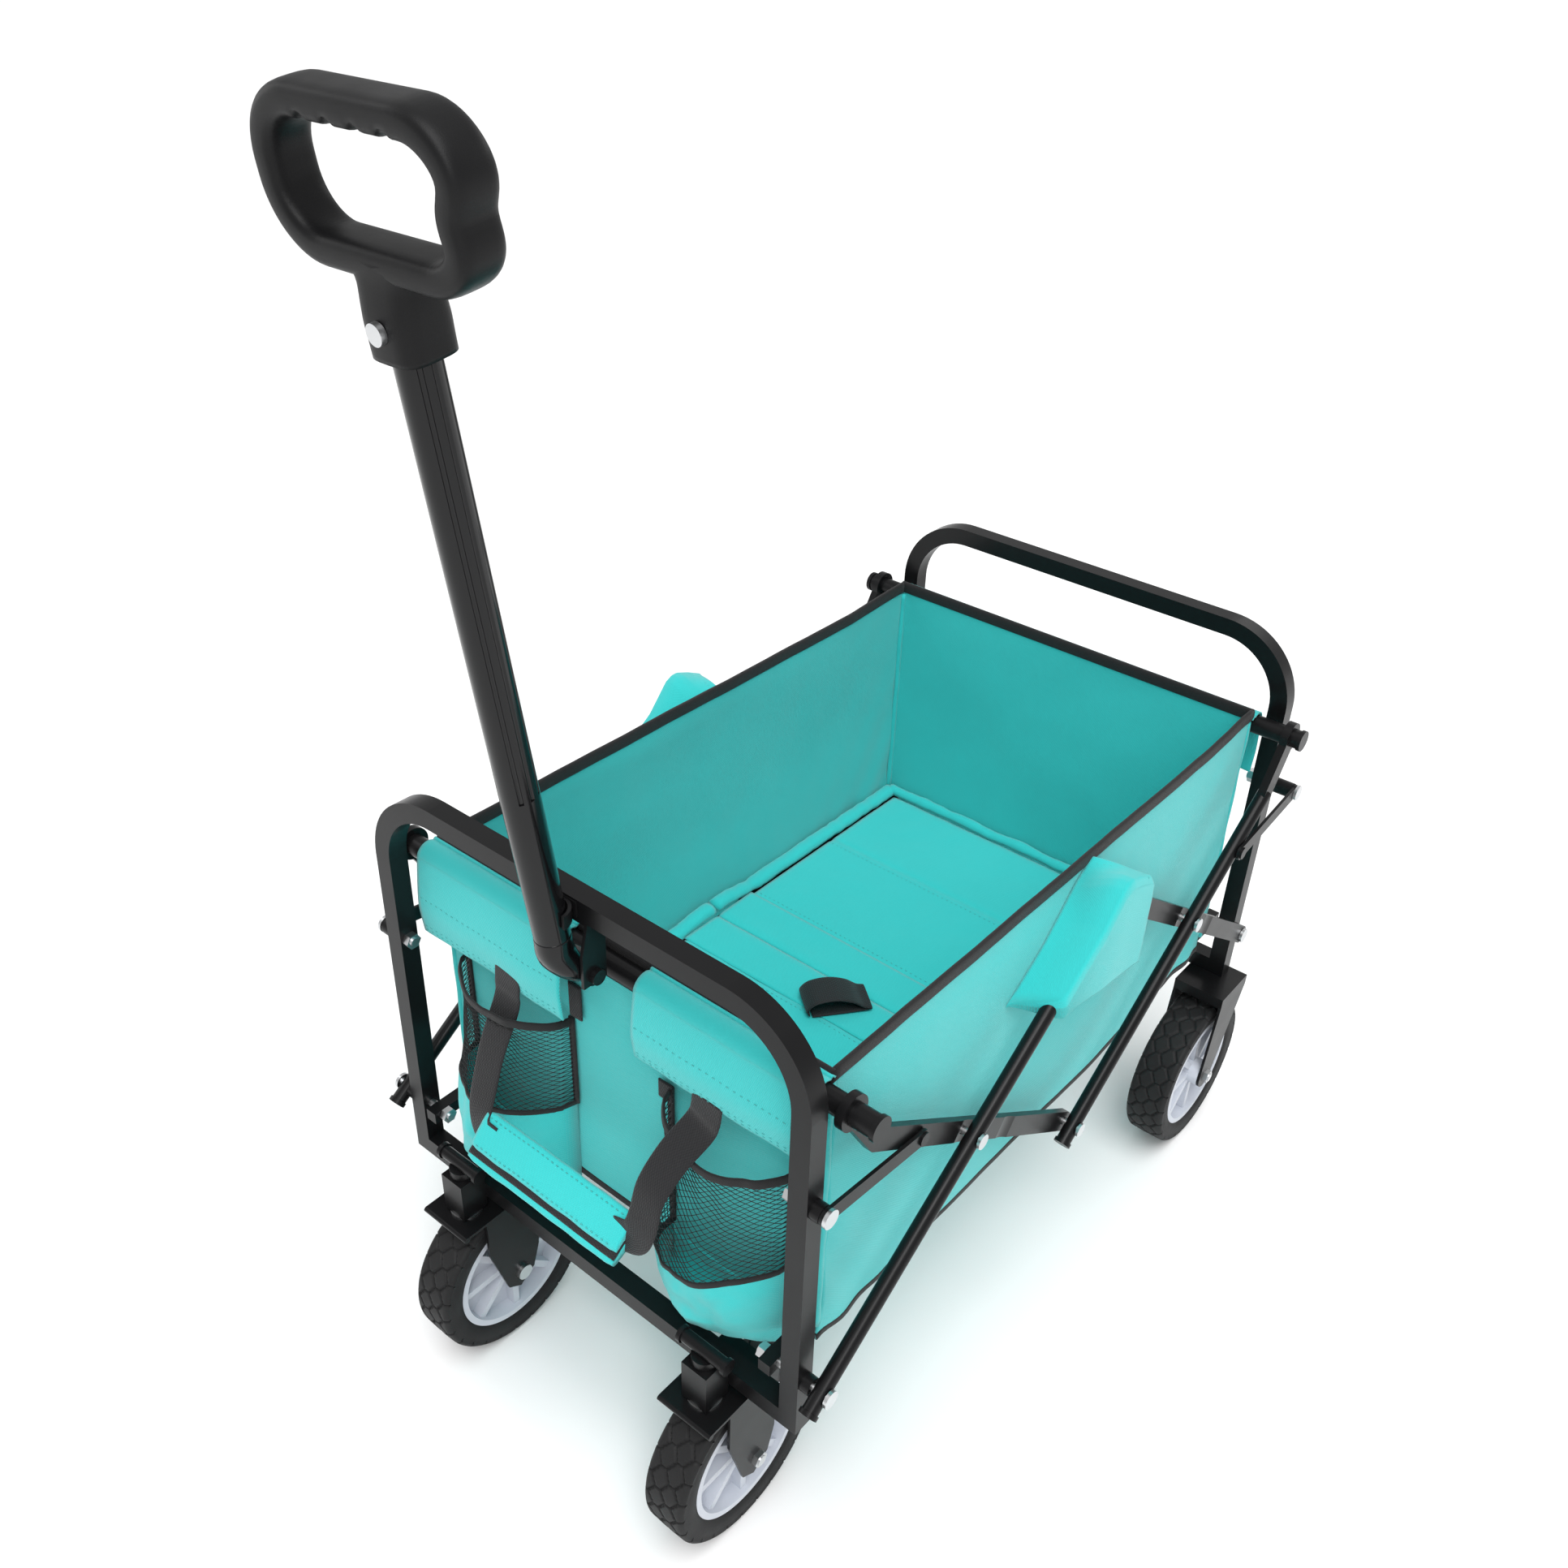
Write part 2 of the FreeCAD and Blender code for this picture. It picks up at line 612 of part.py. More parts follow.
lean = math.radians(handle_lean_deg)
handle_axis = Vector(0, -math.sin(lean), math.cos(lean))
elbow = Vector(0, handle_elbow_y, handle_elbow_z)


def handle_tube():
    """Fluted pull tube with a flattened foot that turns on the bracket pin."""
    body = rod(handle_tube_r, handle_tube_len, elbow, handle_axis)
    hollow = rod(handle_tube_r - 2.2, handle_tube_len - 40, elbow + handle_axis * 20, handle_axis)
    body = body.cut(hollow)
    flute = rod(2.0, handle_tube_len * 0.66, elbow + handle_axis * (handle_tube_len * 0.3), handle_axis)
    side_step = handle_axis.cross(X)
    for angle in (-35, 0, 35, 145, 180, 215):
        a = math.radians(angle)
        offset = (X * math.cos(a) + side_step * math.sin(a)) * (handle_tube_r + 0.9)
        body = body.cut(shifted(flute, offset.x, offset.y, offset.z))
    knuckle = x_rod(9.0, -18.6, 18.6, handle_pivot_y, handle_pivot_z)
    ball = Part.makeSphere(handle_tube_r, elbow)
    neck_dir = elbow - Vector(0, handle_pivot_y, handle_pivot_z)
    neck = rod(9.0, neck_dir.Length, Vector(0, handle_pivot_y, handle_pivot_z), neck_dir)
    foot = fuse([knuckle, ball, neck])
    foot = foot.cut(x_rod(4.0 + running_gap, -30, 30, handle_pivot_y, handle_pivot_z))
    return fuse([body, foot])


save("handle_tube", handle_tube())


def hoop_clip():
    """Open C clip on the hoop's top bar that holds the upright handle."""
    z0 = hoop_top_z - 15.0
    y_axis = handle_elbow_y - math.tan(lean) * (z0 + 6 - handle_elbow_z)
    outer = z_rod(handle_tube_r + 3.6, z0, z0 + 12, 0, y_axis)
    inner = z_rod(handle_tube_r + 0.9, z0 - 1, z0 + 13, 0, y_axis)
    ring = outer.cut(inner).common(box(-30, 30, y_axis, bar_front_y, z0, z0 + 12))
    back = box(-12, 12, bar_front_y - 0.8, bar_front_y, z0 - 1, z0 + 13)
    clear = rod(handle_tube_r + 0.6, 60, elbow, handle_axis)
    return fuse([ring, back]).cut(clear)


save("hoop_clip", hoop_clip())

# ---------------------------------------------------------------- loop grip
grip_w = 168.0
grip_h = 94.0
grip_depth = 27.0
socket_half = 19.5
band = 17.0
side_band = 17.0


def rounded_plate(w, h, r, depth):
    """Rounded rectangle in the XZ plane, centred, extruded along Y about y = 0."""
    hw = w / 2 - r
    hh = h / 2 - r
    slabs = [box(-w / 2, w / 2, -depth / 2, depth / 2, -hh, hh),
             box(-hw, hw, -depth / 2, depth / 2, -h / 2, h / 2)]
    for sx in (-1, 1):
        for sz in (-1, 1):
            slabs.append(rod(r, depth, Vector(sx * hw, -depth / 2, sz * hh), Y))
    return fuse(slabs)


def grip():
    """Loop grip drawn upright about its own centre, with finger scallops under the top bar."""
    y0 = -grip_depth / 2 - 2
    body = rounded_plate(grip_w, grip_h, 38, grip_depth)
    hole = rounded_plate(grip_w - 2 * side_band, grip_h - 2 * band, 22, grip_depth + 4)
    body = body.cut(hole)
    for i in range(4):
        scallop = Vector(-33 + i * 22, y0, grip_h / 2 - band - 5)
        body = body.cut(rod(8.0, grip_depth + 4, scallop, Y))
    body = body.cut(rod(34.0, grip_depth + 4, Vector(grip_w / 2 + 30, y0, 4), Y))
    socket = Part.makeCone(21.0, 24.0, 46.0, Vector(0, 0, -grip_h / 2 - 42), Z)
    body = body.fuse(socket.common(box(-30, 30, -socket_half, socket_half, -120, -grip_h / 2 + 4)))
    body = body.cut(hole)
    return body.cut(rod(handle_tube_r, 36.0, Vector(0, 0, -grip_h / 2 - 44), Z))


grip_centre = elbow + handle_axis * (handle_tube_len + grip_h / 2 + 9)
placed_grip = grip()
placed_grip.rotate(Vector(0, 0, 0), X, handle_lean_deg)
placed_grip.translate(grip_centre)
bolt_z = -grip_h / 2 - 24
bolt = fuse([rod(3.0, 42.0, Vector(0, -20, bolt_z), Y), rod(6.5, 4.0, Vector(0, -23.5, bolt_z), Y)])
bolt.rotate(Vector(0, 0, 0), X, handle_lean_deg)
bolt.translate(grip_centre)
save("handle_grip", placed_grip.cut(bolt))
save("grip_bolt", bolt.cut(handle_tube()))
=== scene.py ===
import json
import math

import bpy
import bmesh
from mathutils import Matrix, Vector, noise


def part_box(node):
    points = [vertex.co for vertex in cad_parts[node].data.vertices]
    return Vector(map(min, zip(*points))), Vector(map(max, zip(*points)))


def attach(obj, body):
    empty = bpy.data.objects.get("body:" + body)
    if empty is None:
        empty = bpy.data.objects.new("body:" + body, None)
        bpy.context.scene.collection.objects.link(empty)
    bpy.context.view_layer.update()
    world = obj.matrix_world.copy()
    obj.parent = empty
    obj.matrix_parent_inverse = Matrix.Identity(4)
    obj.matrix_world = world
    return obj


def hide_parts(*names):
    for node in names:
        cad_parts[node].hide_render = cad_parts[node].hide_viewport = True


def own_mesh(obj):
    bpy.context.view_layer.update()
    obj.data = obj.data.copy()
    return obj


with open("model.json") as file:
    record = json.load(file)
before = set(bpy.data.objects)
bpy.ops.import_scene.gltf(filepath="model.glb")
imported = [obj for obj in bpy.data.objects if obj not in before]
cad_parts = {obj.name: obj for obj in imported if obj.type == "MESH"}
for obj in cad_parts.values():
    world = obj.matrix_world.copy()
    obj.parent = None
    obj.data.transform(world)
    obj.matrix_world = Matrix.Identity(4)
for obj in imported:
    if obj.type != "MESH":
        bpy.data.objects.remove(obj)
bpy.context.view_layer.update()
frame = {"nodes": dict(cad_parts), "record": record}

# The cart's own millimetres: floor z = 0, y = 0 half way between the two hoops, x = 0 on the centre line.
MM = 0.001
HOOP_Y = 375.0
hoop_low, hoop_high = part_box("front_hoop")
SHIFT_Y = (hoop_low.y + hoop_high.y) / 2 / MM + HOOP_Y    # from the cart's own y to the frame's y
RAIL_Y = 345.0            # centre line of the round top rails
RAIL_Z = 532.0
RAIL_R = 9.5
WALL_X = 213.0            # half width of the basket
WALL_Y = 331.5            # half length of the side walls
WALL_Z0 = 246.0           # their bottom edge
RIM_Z = 544.0             # level of the rim
CLOTH_TOP = RIM_Z - 3     # top edge of the cloth, inside the rim tape
PANEL_Y = 334.0           # plane of the end panels
PANEL_Z0 = 250.0          # their bottom edge
REAR_RISE = 5.0           # how much higher the rear end of the rim stands
FLOOR_Z = 277.0           # top of the floor pads
PAD_X = 194.0             # half width of a floor pad
PAD_Y0 = 49.0             # its end at the gusset
PAD_Y1 = 321.0            # its end at the end panel
PAD_LENGTH = PAD_Y1 - PAD_Y0

SIDES = (("right", 1), ("left", -1))
ENDS = (("front", -1), ("rear", 1))


def at(x, y, z):
    """Point in the frame, in metres, from the cart's own millimetres."""
    return Vector((x * MM, (y + SHIFT_Y) * MM, z * MM))


def mix(a, b, t):
    return a + (b - a) * t


def smooth(t):
    t = min(max(t, 0.0), 1.0)
    return t * t * (3 - 2 * t)


def waves(x, y, seed):
    """Smooth random height in -1..1."""
    return noise.noise(Vector((x, y, seed)))


def sampled(point, count):
    """Points of a function of 0..1, at the ends of count equal steps."""
    return [Vector(point(k / count)) for k in range(count + 1)]


def on_path(path, share):
    """Point at a share 0..1 of the way through a list of points."""
    last = len(path) - 1
    f = share * last
    i = min(int(f), last - 1)
    return path[i].lerp(path[i + 1], f - i)


def curve_points(corners, count):
    """Smooth path through the corners (Catmull-Rom), count points."""
    pts = [Vector(c) for c in corners]
    ends = [pts[0] * 2 - pts[1]] + pts + [pts[-1] * 2 - pts[-2]]
    out = []
    for k in range(count):
        f = k / (count - 1) * (len(pts) - 1)
        i = min(int(f), len(pts) - 2)
        t = f - i
        a, b, c, d = ends[i], ends[i + 1], ends[i + 2], ends[i + 3]
        out.append(0.5 * ((2 * b) + (c - a) * t + (2 * a - 5 * b + 4 * c - d) * t * t
                          + (3 * b - a - 3 * c + d) * t ** 3))
    return out


# ---------------------------------------------------------------- materials
def new_material(name):
    mat = bpy.data.materials.new(name)
    mat.use_nodes = True
    tree = mat.node_tree
    return mat, tree, tree.nodes["Principled BSDF"]


def noise_node(tree, vector, scale, detail=3.0, rough=0.5):
    node = tree.nodes.new("ShaderNodeTexNoise")
    node.inputs["Scale"].default_value = scale
    node.inputs["Detail"].default_value = detail
    node.inputs["Roughness"].default_value = rough
    tree.links.new(vector, node.inputs["Vector"])
    return node.outputs["Fac"]


def math_node(tree, operation, *inputs):
    """Math node over numbers and sockets, in order."""
    node = tree.nodes.new("ShaderNodeMath")
    node.operation = operation
    for i, value in enumerate(inputs):
        if isinstance(value, (int, float)):
            node.inputs[i].default_value = value
        else:
            tree.links.new(value, node.inputs[i])
    return node.outputs[0]


def two_colours(tree, fac, low, high):
    ramp = tree.nodes.new("ShaderNodeValToRGB")
    ramp.color_ramp.elements[0].color = (*low, 1)
    ramp.color_ramp.elements[1].color = (*high, 1)
    tree.links.new(fac, ramp.inputs[0])
    return ramp.outputs[0]


def bump(tree, shader, height, strength, distance):
    node = tree.nodes.new("ShaderNodeBump")
    node.inputs["Strength"].default_value = strength
    node.inputs["Distance"].default_value = distance
    tree.links.new(height, node.inputs["Height"])
    tree.links.new(node.outputs[0], shader.inputs["Normal"])


def rough_range(tree, shader, fac, low, high):
    node = tree.nodes.new("ShaderNodeMapRange")
    node.inputs["To Min"].default_value = low
    node.inputs["To Max"].default_value = high
    tree.links.new(fac, node.inputs["Value"])
    tree.links.new(node.outputs[0], shader.inputs["Roughness"])


def paint(name, colour, rough, grain, grain_depth, coat=0.0, metal=0.0, fine=900.0, shine=0.5):
    """Painted, plated or moulded surface: fine grain, slow colour drift and uneven gloss."""
    mat, tree, shader = new_material(name)
    place = tree.nodes.new("ShaderNodeTexCoord").outputs["Object"]
    slow = noise_node(tree, place, scale=9.0, detail=4.0)
    low = tuple(c * 0.82 for c in colour)
    high = tuple(min(1.0, c * 1.22) for c in colour)
    tree.links.new(two_colours(tree, slow, low, high), shader.inputs["Base Color"])
    small = noise_node(tree, place, scale=fine, detail=2.0)
    bump(tree, shader, small, grain, grain_depth)
    patches = noise_node(tree, place, scale=30.0, detail=5.0)
    rough_range(tree, shader, patches, rough * 0.8, min(1.0, rough * 1.25))
    shader.inputs["Metallic"].default_value = metal
    shader.inputs["Specular IOR Level"].default_value = shine
    shader.inputs["Coat Weight"].default_value = coat
    shader.inputs["Coat Roughness"].default_value = 0.12
    return mat


def woven(name, low, high, pitch, depth, rough, sheen, ribs=1.0):
    """Plain weave drawn over the cloth's own length and width: crossing yarns, fuzz and slow shade
    changes. pitch is in millimetres, and ribs stretches the weave along the cloth."""
    mat, tree, shader = new_material(name)
    coords = tree.nodes.new("ShaderNodeTexCoord")
    split = tree.nodes.new("ShaderNodeSeparateXYZ")
    tree.links.new(coords.outputs["UV"], split.inputs[0])
    turn = 2 * math.pi / (pitch * MM)
    warp = math_node(tree, "SINE", math_node(tree, "MULTIPLY", split.outputs[0], turn))
    weft = math_node(tree, "SINE", math_node(tree, "MULTIPLY", split.outputs[1], turn * ribs))
    cross = math_node(tree, "MULTIPLY", warp, weft)
    height = math_node(tree, "MULTIPLY_ADD", cross, 0.5, 0.5)
    fuzz = noise_node(tree, coords.outputs["Object"], scale=700.0)
    slow = noise_node(tree, coords.outputs["Object"], scale=5.0)
    drift = math_node(tree, "ADD", math_node(tree, "MULTIPLY", fuzz, 0.2),
                      math_node(tree, "MULTIPLY", slow, 0.3))
    mixed = math_node(tree, "ADD", math_node(tree, "MULTIPLY", height, 0.5), drift)
    tree.links.new(two_colours(tree, mixed, low, high), shader.inputs["Base Color"])
    both = math_node(tree, "ADD", height, math_node(tree, "MULTIPLY", fuzz, 0.5))
    bump(tree, shader, both, depth, 0.0004)
    rough_range(tree, shader, fuzz, rough - 0.08, rough + 0.08)
    shader.inputs["Sheen Weight"].default_value = sheen
    shader.inputs["Sheen Roughness"].default_value = 0.5
    shader.inputs["Specular IOR Level"].default_value = 0.25
    return mat


teal = woven("teal_oxford", (0.008, 0.42, 0.42), (0.045, 0.68, 0.67),
             pitch=1.5, depth=0.7, rough=0.68, sheen=0.3)
webbing = woven("black_webbing", (0.004, 0.004, 0.005), (0.022, 0.022, 0.024),
                pitch=2.2, depth=0.9, rough=0.62, sheen=0.12, ribs=0.5)
tape = woven("black_tape", (0.004, 0.004, 0.005), (0.018, 0.018, 0.019),
             pitch=1.3, depth=0.7, rough=0.7, sheen=0.1)
net = paint("black_net", (0.010, 0.010, 0.011), rough=0.6, grain=0.4, grain_depth=0.0002)
thread = paint("teal_thread", (0.07, 0.42, 0.41), rough=0.7, grain=0.3, grain_depth=0.0002)
frame_black = paint("powder_black", (0.006, 0.006, 0.0065), rough=0.30, grain=0.14, grain_depth=0.0003,
                    coat=0.05, fine=1400.0, shine=0.17)
gloss_black = paint("gloss_black", (0.004, 0.004, 0.0045), rough=0.16, grain=0.05, grain_depth=0.0002,
                    coat=0.12, shine=0.25)
plastic = paint("moulded_black", (0.007, 0.007, 0.0075), rough=0.40, grain=0.3, grain_depth=0.0003,
                fine=1800.0, shine=0.17)
hub_grey = paint("hub_grey", (0.56, 0.59, 0.65), rough=0.42, grain=0.12, grain_depth=0.0003)
rubber = paint("tyre_rubber", (0.009, 0.009, 0.0095), rough=0.62, grain=0.5, grain_depth=0.0004,
               fine=1200.0, shine=0.3)
zinc = paint("zinc_plate", (0.62, 0.63, 0.64), rough=0.30, grain=0.2, grain_depth=0.0002, metal=1.0)

BY_SLOT = {
    "frame_paint": frame_black, "gloss_paint": gloss_black, "zinc": zinc,
    "black_plastic": plastic, "grey_plastic": hub_grey, "tyre_rubber": rubber,
    "turquoise_fabric": teal, "black_webbing": webbing,
}
slot_of = {s["node"]: s.get("material_slot") for s in frame["record"]["subparts"]}
for node_name, node in frame["nodes"].items():
    finish = BY_SLOT[slot_of[node_name]]
    if not node.material_slots:
        node.data.materials.append(finish)
    for place in node.material_slots:
        place.material = finish


# ---------------------------------------------------------------- builders
def finished(name, mesh, mat, body, replaces=()):
    """Smooth-shaded object in its material, riding on a body, in place of the CAD nodes it replaces."""
    obj = bpy.data.objects.new(name, mesh)
    bpy.context.scene.collection.objects.link(obj)
    mesh.materials.append(mat)
    for face in mesh.polygons:
        face.use_smooth = True
    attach(obj, body)
    if replaces:
        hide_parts(*replaces)
    return obj


def face_outwards(mesh):
    bm = bmesh.new()
    bm.from_mesh(mesh)
    bmesh.ops.recalc_face_normals(bm, faces=bm.faces)
    bm.to_mesh(mesh)
    bm.free()


def cloth(name, point, nu, nv, size, mat, body, replaces=(), thick=1.6):
    """Closed sheet of real thickness over point(s, t) in the cart's millimetres, s and t from 0 to 1.
    size is the cloth's (width, length) in millimetres, and thick is a number or a function of (s, t)."""
    rows = [[Vector(point(i / nu, j / nv)) for j in range(nv + 1)] for i in range(nu + 1)]

    def normal(i, j):
        a = rows[min(i + 1, nu)][j]
        b = rows[max(i - 1, 0)][j]
        c = rows[i][min(j + 1, nv)]
        d = rows[i][max(j - 1, 0)]
        n = (a - b).cross(c - d)
        return n.normalized() if n.length > 1e-9 else Vector((0, 0, 1))

    verts = []
    for side in (0.5, -0.5):
        for i in range(nu + 1):
            for j in range(nv + 1):
                t = thick(i / nu, j / nv) if callable(thick) else thick
                verts.append(at(*(rows[i][j] + normal(i, j) * (side * t))))
    layer = (nu + 1) * (nv + 1)

    def key(side, i, j):
        return side * layer + i * (nv + 1) + j

    faces = []
    for i in range(nu):
        for j in range(nv):
            faces.append((key(0, i, j), key(0, i + 1, j), key(0, i + 1, j + 1), key(0, i, j + 1)))
            faces.append((key(1, i, j), key(1, i, j + 1), key(1, i + 1, j + 1), key(1, i + 1, j)))
        faces.append((key(0, i, 0), key(1, i, 0), key(1, i + 1, 0), key(0, i + 1, 0)))
        faces.append((key(0, i, nv), key(0, i + 1, nv), key(1, i + 1, nv), key(1, i, nv)))
    for j in range(nv):
        faces.append((key(0, 0, j), key(0, 0, j + 1), key(1, 0, j + 1), key(1, 0, j)))
        faces.append((key(0, nu, j), key(1, nu, j), key(1, nu, j + 1), key(0, nu, j + 1)))
    mesh = bpy.data.meshes.new(name)
    mesh.from_pydata(verts, [], faces)
    mesh.validate()
    uv = mesh.uv_layers.new(name="cloth")
    for loop in mesh.loops:
        i, j = divmod(loop.vertex_index % layer, nv + 1)
        uv.data[loop.index].uv = (size[0] * MM * i / nu, size[1] * MM * j / nv)
    face_outwards(mesh)
    return finished(name, mesh, mat, body, replaces)


def sweep(name, path, section, up, mat, body, replaces=(), closed=False):
    """Solid strip, roll or loop: section, a list of (across, above) in millimetres or a function of the
    share 0..1 of the path, carried along the path. up is roughly the way that above points."""
    verts, faces, lengths = [], [], []
    n = len(path)
    length = 0.0
    for k, p in enumerate(path):
        a = path[(k + 1) % n] if closed else path[min(k + 1, n - 1)]
        b = path[k - 1] if closed else path[max(k - 1, 0)]
        tangent = (a - b).normalized()
        across = tangent.cross(up).normalized()
        above = across.cross(tangent).normalized()
        ring = section(k / (n - 1)) if callable(section) else section
        for u, v in ring:
            verts.append(at(*(p + across * u + above * v)))
            lengths.append(length)
        if k < n - 1:
            length += (path[k + 1] - p).length
    m = len(ring)
    for k in range(n if closed else n - 1):
        for i in range(m):
            q = (k + 1) % n
            faces.append((k * m + i, k * m + (i + 1) % m, q * m + (i + 1) % m, q * m + i))
    if not closed:
        faces.append(tuple(range(m))[::-1])
        faces.append(tuple((n - 1) * m + i for i in range(m)))
    mesh = bpy.data.meshes.new(name)
    mesh.from_pydata(verts, [], faces)
    around = [0.0]
    for i in range(m):
        around.append(around[-1] + (Vector(ring[(i + 1) % m]) - Vector(ring[i])).length)
    uv = mesh.uv_layers.new(name="cloth")
    for loop in mesh.loops:
        vert = loop.vertex_index
        uv.data[loop.index].uv = (around[vert % m] * MM, lengths[vert] * MM)
    face_outwards(mesh)
    return finished(name, mesh, mat, body, replaces)


def oval(width, height, power=2.0, count=16):
    """Rounded section, from an ellipse (power 2) towards a rounded box (power 5)."""
    out = []
    for k in range(count):
        a = 2 * math.pi * k / count
        c, s = math.cos(a), math.sin(a)
        out.append((math.copysign(abs(c) ** (2 / power), c) * width / 2,
                    math.copysign(abs(s) ** (2 / power), s) * height / 2))
    return out


STITCH_PITCH = 4.2
STITCH_LENGTH = 2.7
STITCH_WIDTH = 0.9
STITCH_SHAPE = ((0.0, -0.2), (0.3, 0.5), (0.7, 0.5), (1.0, -0.2))    # share of its length, height


def stitch_row(point, count, lift, outward):
    """Row of stitches over a function of 0..1, lifted off the cloth, and the way it faces."""
    return [p + Vector(lift) for p in sampled(point, count)], outward


def stitches(name, rows, body):
    """Rows of raised thread dashes."""
    verts, faces = [], []
    for points, outward in rows:
        n = Vector(outward)
        spare = 0.0
        for a, b in zip(points, points[1:]):
            run = (b - a).length
            step = (b - a).normalized()
            side = step.cross(n).normalized()
            d = spare
            while d + STITCH_LENGTH < run:
                base = len(verts)
                start, stop = a + step * d, a + step * (d + STITCH_LENGTH)
                for share, lift in STITCH_SHAPE:
                    q = mix(start, stop, share)
                    w = STITCH_WIDTH / 2 if lift > 0 else STITCH_WIDTH / 4
                    verts.extend([at(*(q + side * w)), at(*(q + n * lift)), at(*(q - side * w))])
                for r in range(3):
                    o = base + r * 3
                    faces.extend([(o, o + 1, o + 4, o + 3), (o + 1, o + 2, o + 5, o + 4)])
                    faces.append((o + 2, o, o + 3, o + 5))
                faces.append((base, base + 2, base + 1))
                faces.append((base + 9, base + 10, base + 11))
                d += STITCH_PITCH
            spare = max(0.0, d - run)
    mesh = bpy.data.meshes.new(name)
    mesh.from_pydata(verts, [], faces)
    return finished(name, mesh, thread, body)


def along_y(obj):
    """Soft piece given its own copy of its mesh."""
    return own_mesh(obj)


# Tape and binding sections: width, thickness, squareness.
RIM_TAPE = oval(13.0, 5.2, 3.0)
WALL_HEM = oval(8.0, 3.4, 3.0)
PANEL_HEM = oval(9.0, 3.4, 3.0)
HEM_AT = 0.012            # share of a wall's or panel's height where its hem tape runs


# ---------------------------------------------------------------- basket walls
RIM_OVERLAP = 4.0         # how far a wall's rim tape runs past its ends, into the corners


def wall_point(side):
    """Side wall: s from front to rear, t from bottom to rim."""
    def point(s, t):
        y = mix(-WALL_Y, WALL_Y, s)
        z = mix(WALL_Z0, CLOTH_TOP, t)
        middle = math.sin(math.pi * s)
        belly = 5.0 * middle ** 0.7 * math.sin(math.pi * min(1.0, t * 1.05)) ** 0.8
        folds = 3.2 * waves(y * 0.006, z * 0.011, 4.0 + side) * middle ** 0.3
        fine = 0.9 * waves(y * 0.03, z * 0.017, 9.0 + side)
        corner = min(s, 1 - s) * 2 * WALL_Y
        pull = 2.6 * math.sin((z * 0.6 + corner * 1.1) * 0.11) * math.exp(-corner / 60.0) * math.exp(-t * 3.0)
        top = smooth((1 - t) / 0.12)
        x = WALL_X + (belly + folds + pull) * top + fine * 0.6
        x = max(x, WALL_X - 2.2) if z < 270 else x
        dip = 1.6 * waves(y * 0.008, 0.0, 2.0 + side) * smooth((t - 0.8) / 0.2)
        dip += REAR_RISE * smooth((y - 230) / 95) * smooth((t - 0.5) / 0.5)
        return (side * x, y, z + dip)
    return point


for word, side in SIDES:
    surface = wall_point(side)
    outward = Vector((side, 0, 0))
    wall = cloth("wall_" + word, surface, 150, 66, (2 * WALL_Y, RIM_Z - WALL_Z0), teal,
                 "front_rail", ["side_wall_" + word])
    along_y(wall)
    rim_path = sampled(lambda s: surface(s, 1.0), 120)
    rim_path[0].y -= RIM_OVERLAP
    rim_path[-1].y += RIM_OVERLAP
    rim = sweep("rim_tape_" + word, rim_path, RIM_TAPE, outward, tape, "front_rail",
                ["rim_bindings"] if side == 1 else ())
    along_y(rim)
    hem = sweep("wall_hem_" + word, sampled(lambda s: surface(s, HEM_AT), 90), WALL_HEM, outward, tape,
                "front_rail")
    along_y(hem)


# ---------------------------------------------------------------- end panels
CORNER_X = 214.5          # ends of the rim tape across the front and rear


def end_panel_point(end):
    """End panel: s from left to right, t from bottom to rim, narrower below the floor."""
    top = CLOTH_TOP + (REAR_RISE if end > 0 else 0.0)

    def point(s, t):
        z = mix(PANEL_Z0, top, t)
        half = mix(195.0, 212.5, smooth((z - 262) / 14))
        x = mix(-half, half, s)
        middle = math.sin(math.pi * s)
        folds = 2.4 * waves(x * 0.007, z * 0.009, 20.0 + end) * middle ** 0.4
        folds += 0.7 * waves(x * 0.03, z * 0.02, 26.0 + end)
        sag = 2.5 * middle * math.sin(math.pi * t)
        y = end * (PANEL_Y - (sag * 0.4 + max(folds, -1.2)) * smooth((1 - t) / 0.1))
        return (x, y, z)
    return point


for word, end in ENDS:
    body = word + "_rail"
    surface = end_panel_point(end)
    outward = Vector((0, end, 0))
    panel = cloth("panel_" + word + "_sheet", surface, 90, 66, (420, 291), teal,
                  body, ["panel_" + word])
    rim_path = sampled(lambda s: surface(s, 1.0), 90)
    corners = [Vector((x, end * PANEL_Y, rim_path[0].z)) for x in (-CORNER_X, CORNER_X)]
    rim_path = corners[:1] + rim_path + corners[1:]
    sweep("rim_tape_" + word, rim_path, RIM_TAPE, outward, tape, body)
    sweep("panel_hem_" + word, sampled(lambda s: surface(s, HEM_AT), 60), PANEL_HEM, outward, tape,
          body)


# ---------------------------------------------------------------- sleeves over the top rails
# Name, end, left and right edge, hem height and seed of the folds.
SLEEVES = (("sleeve_left", -1, -216.0, -40.0, 457.0, 31.0),
           ("sleeve_right", -1, 40.0, 216.0, 469.0, 35.0),
           ("sleeve_rear", 1, -216.0, 216.0, 470.0, 38.0))
SLEEVE_STEPS = 60
SLEEVE_ROWS = (0.80, 0.93, 0.965)    # shares of the sleeve's length with a row of stitches


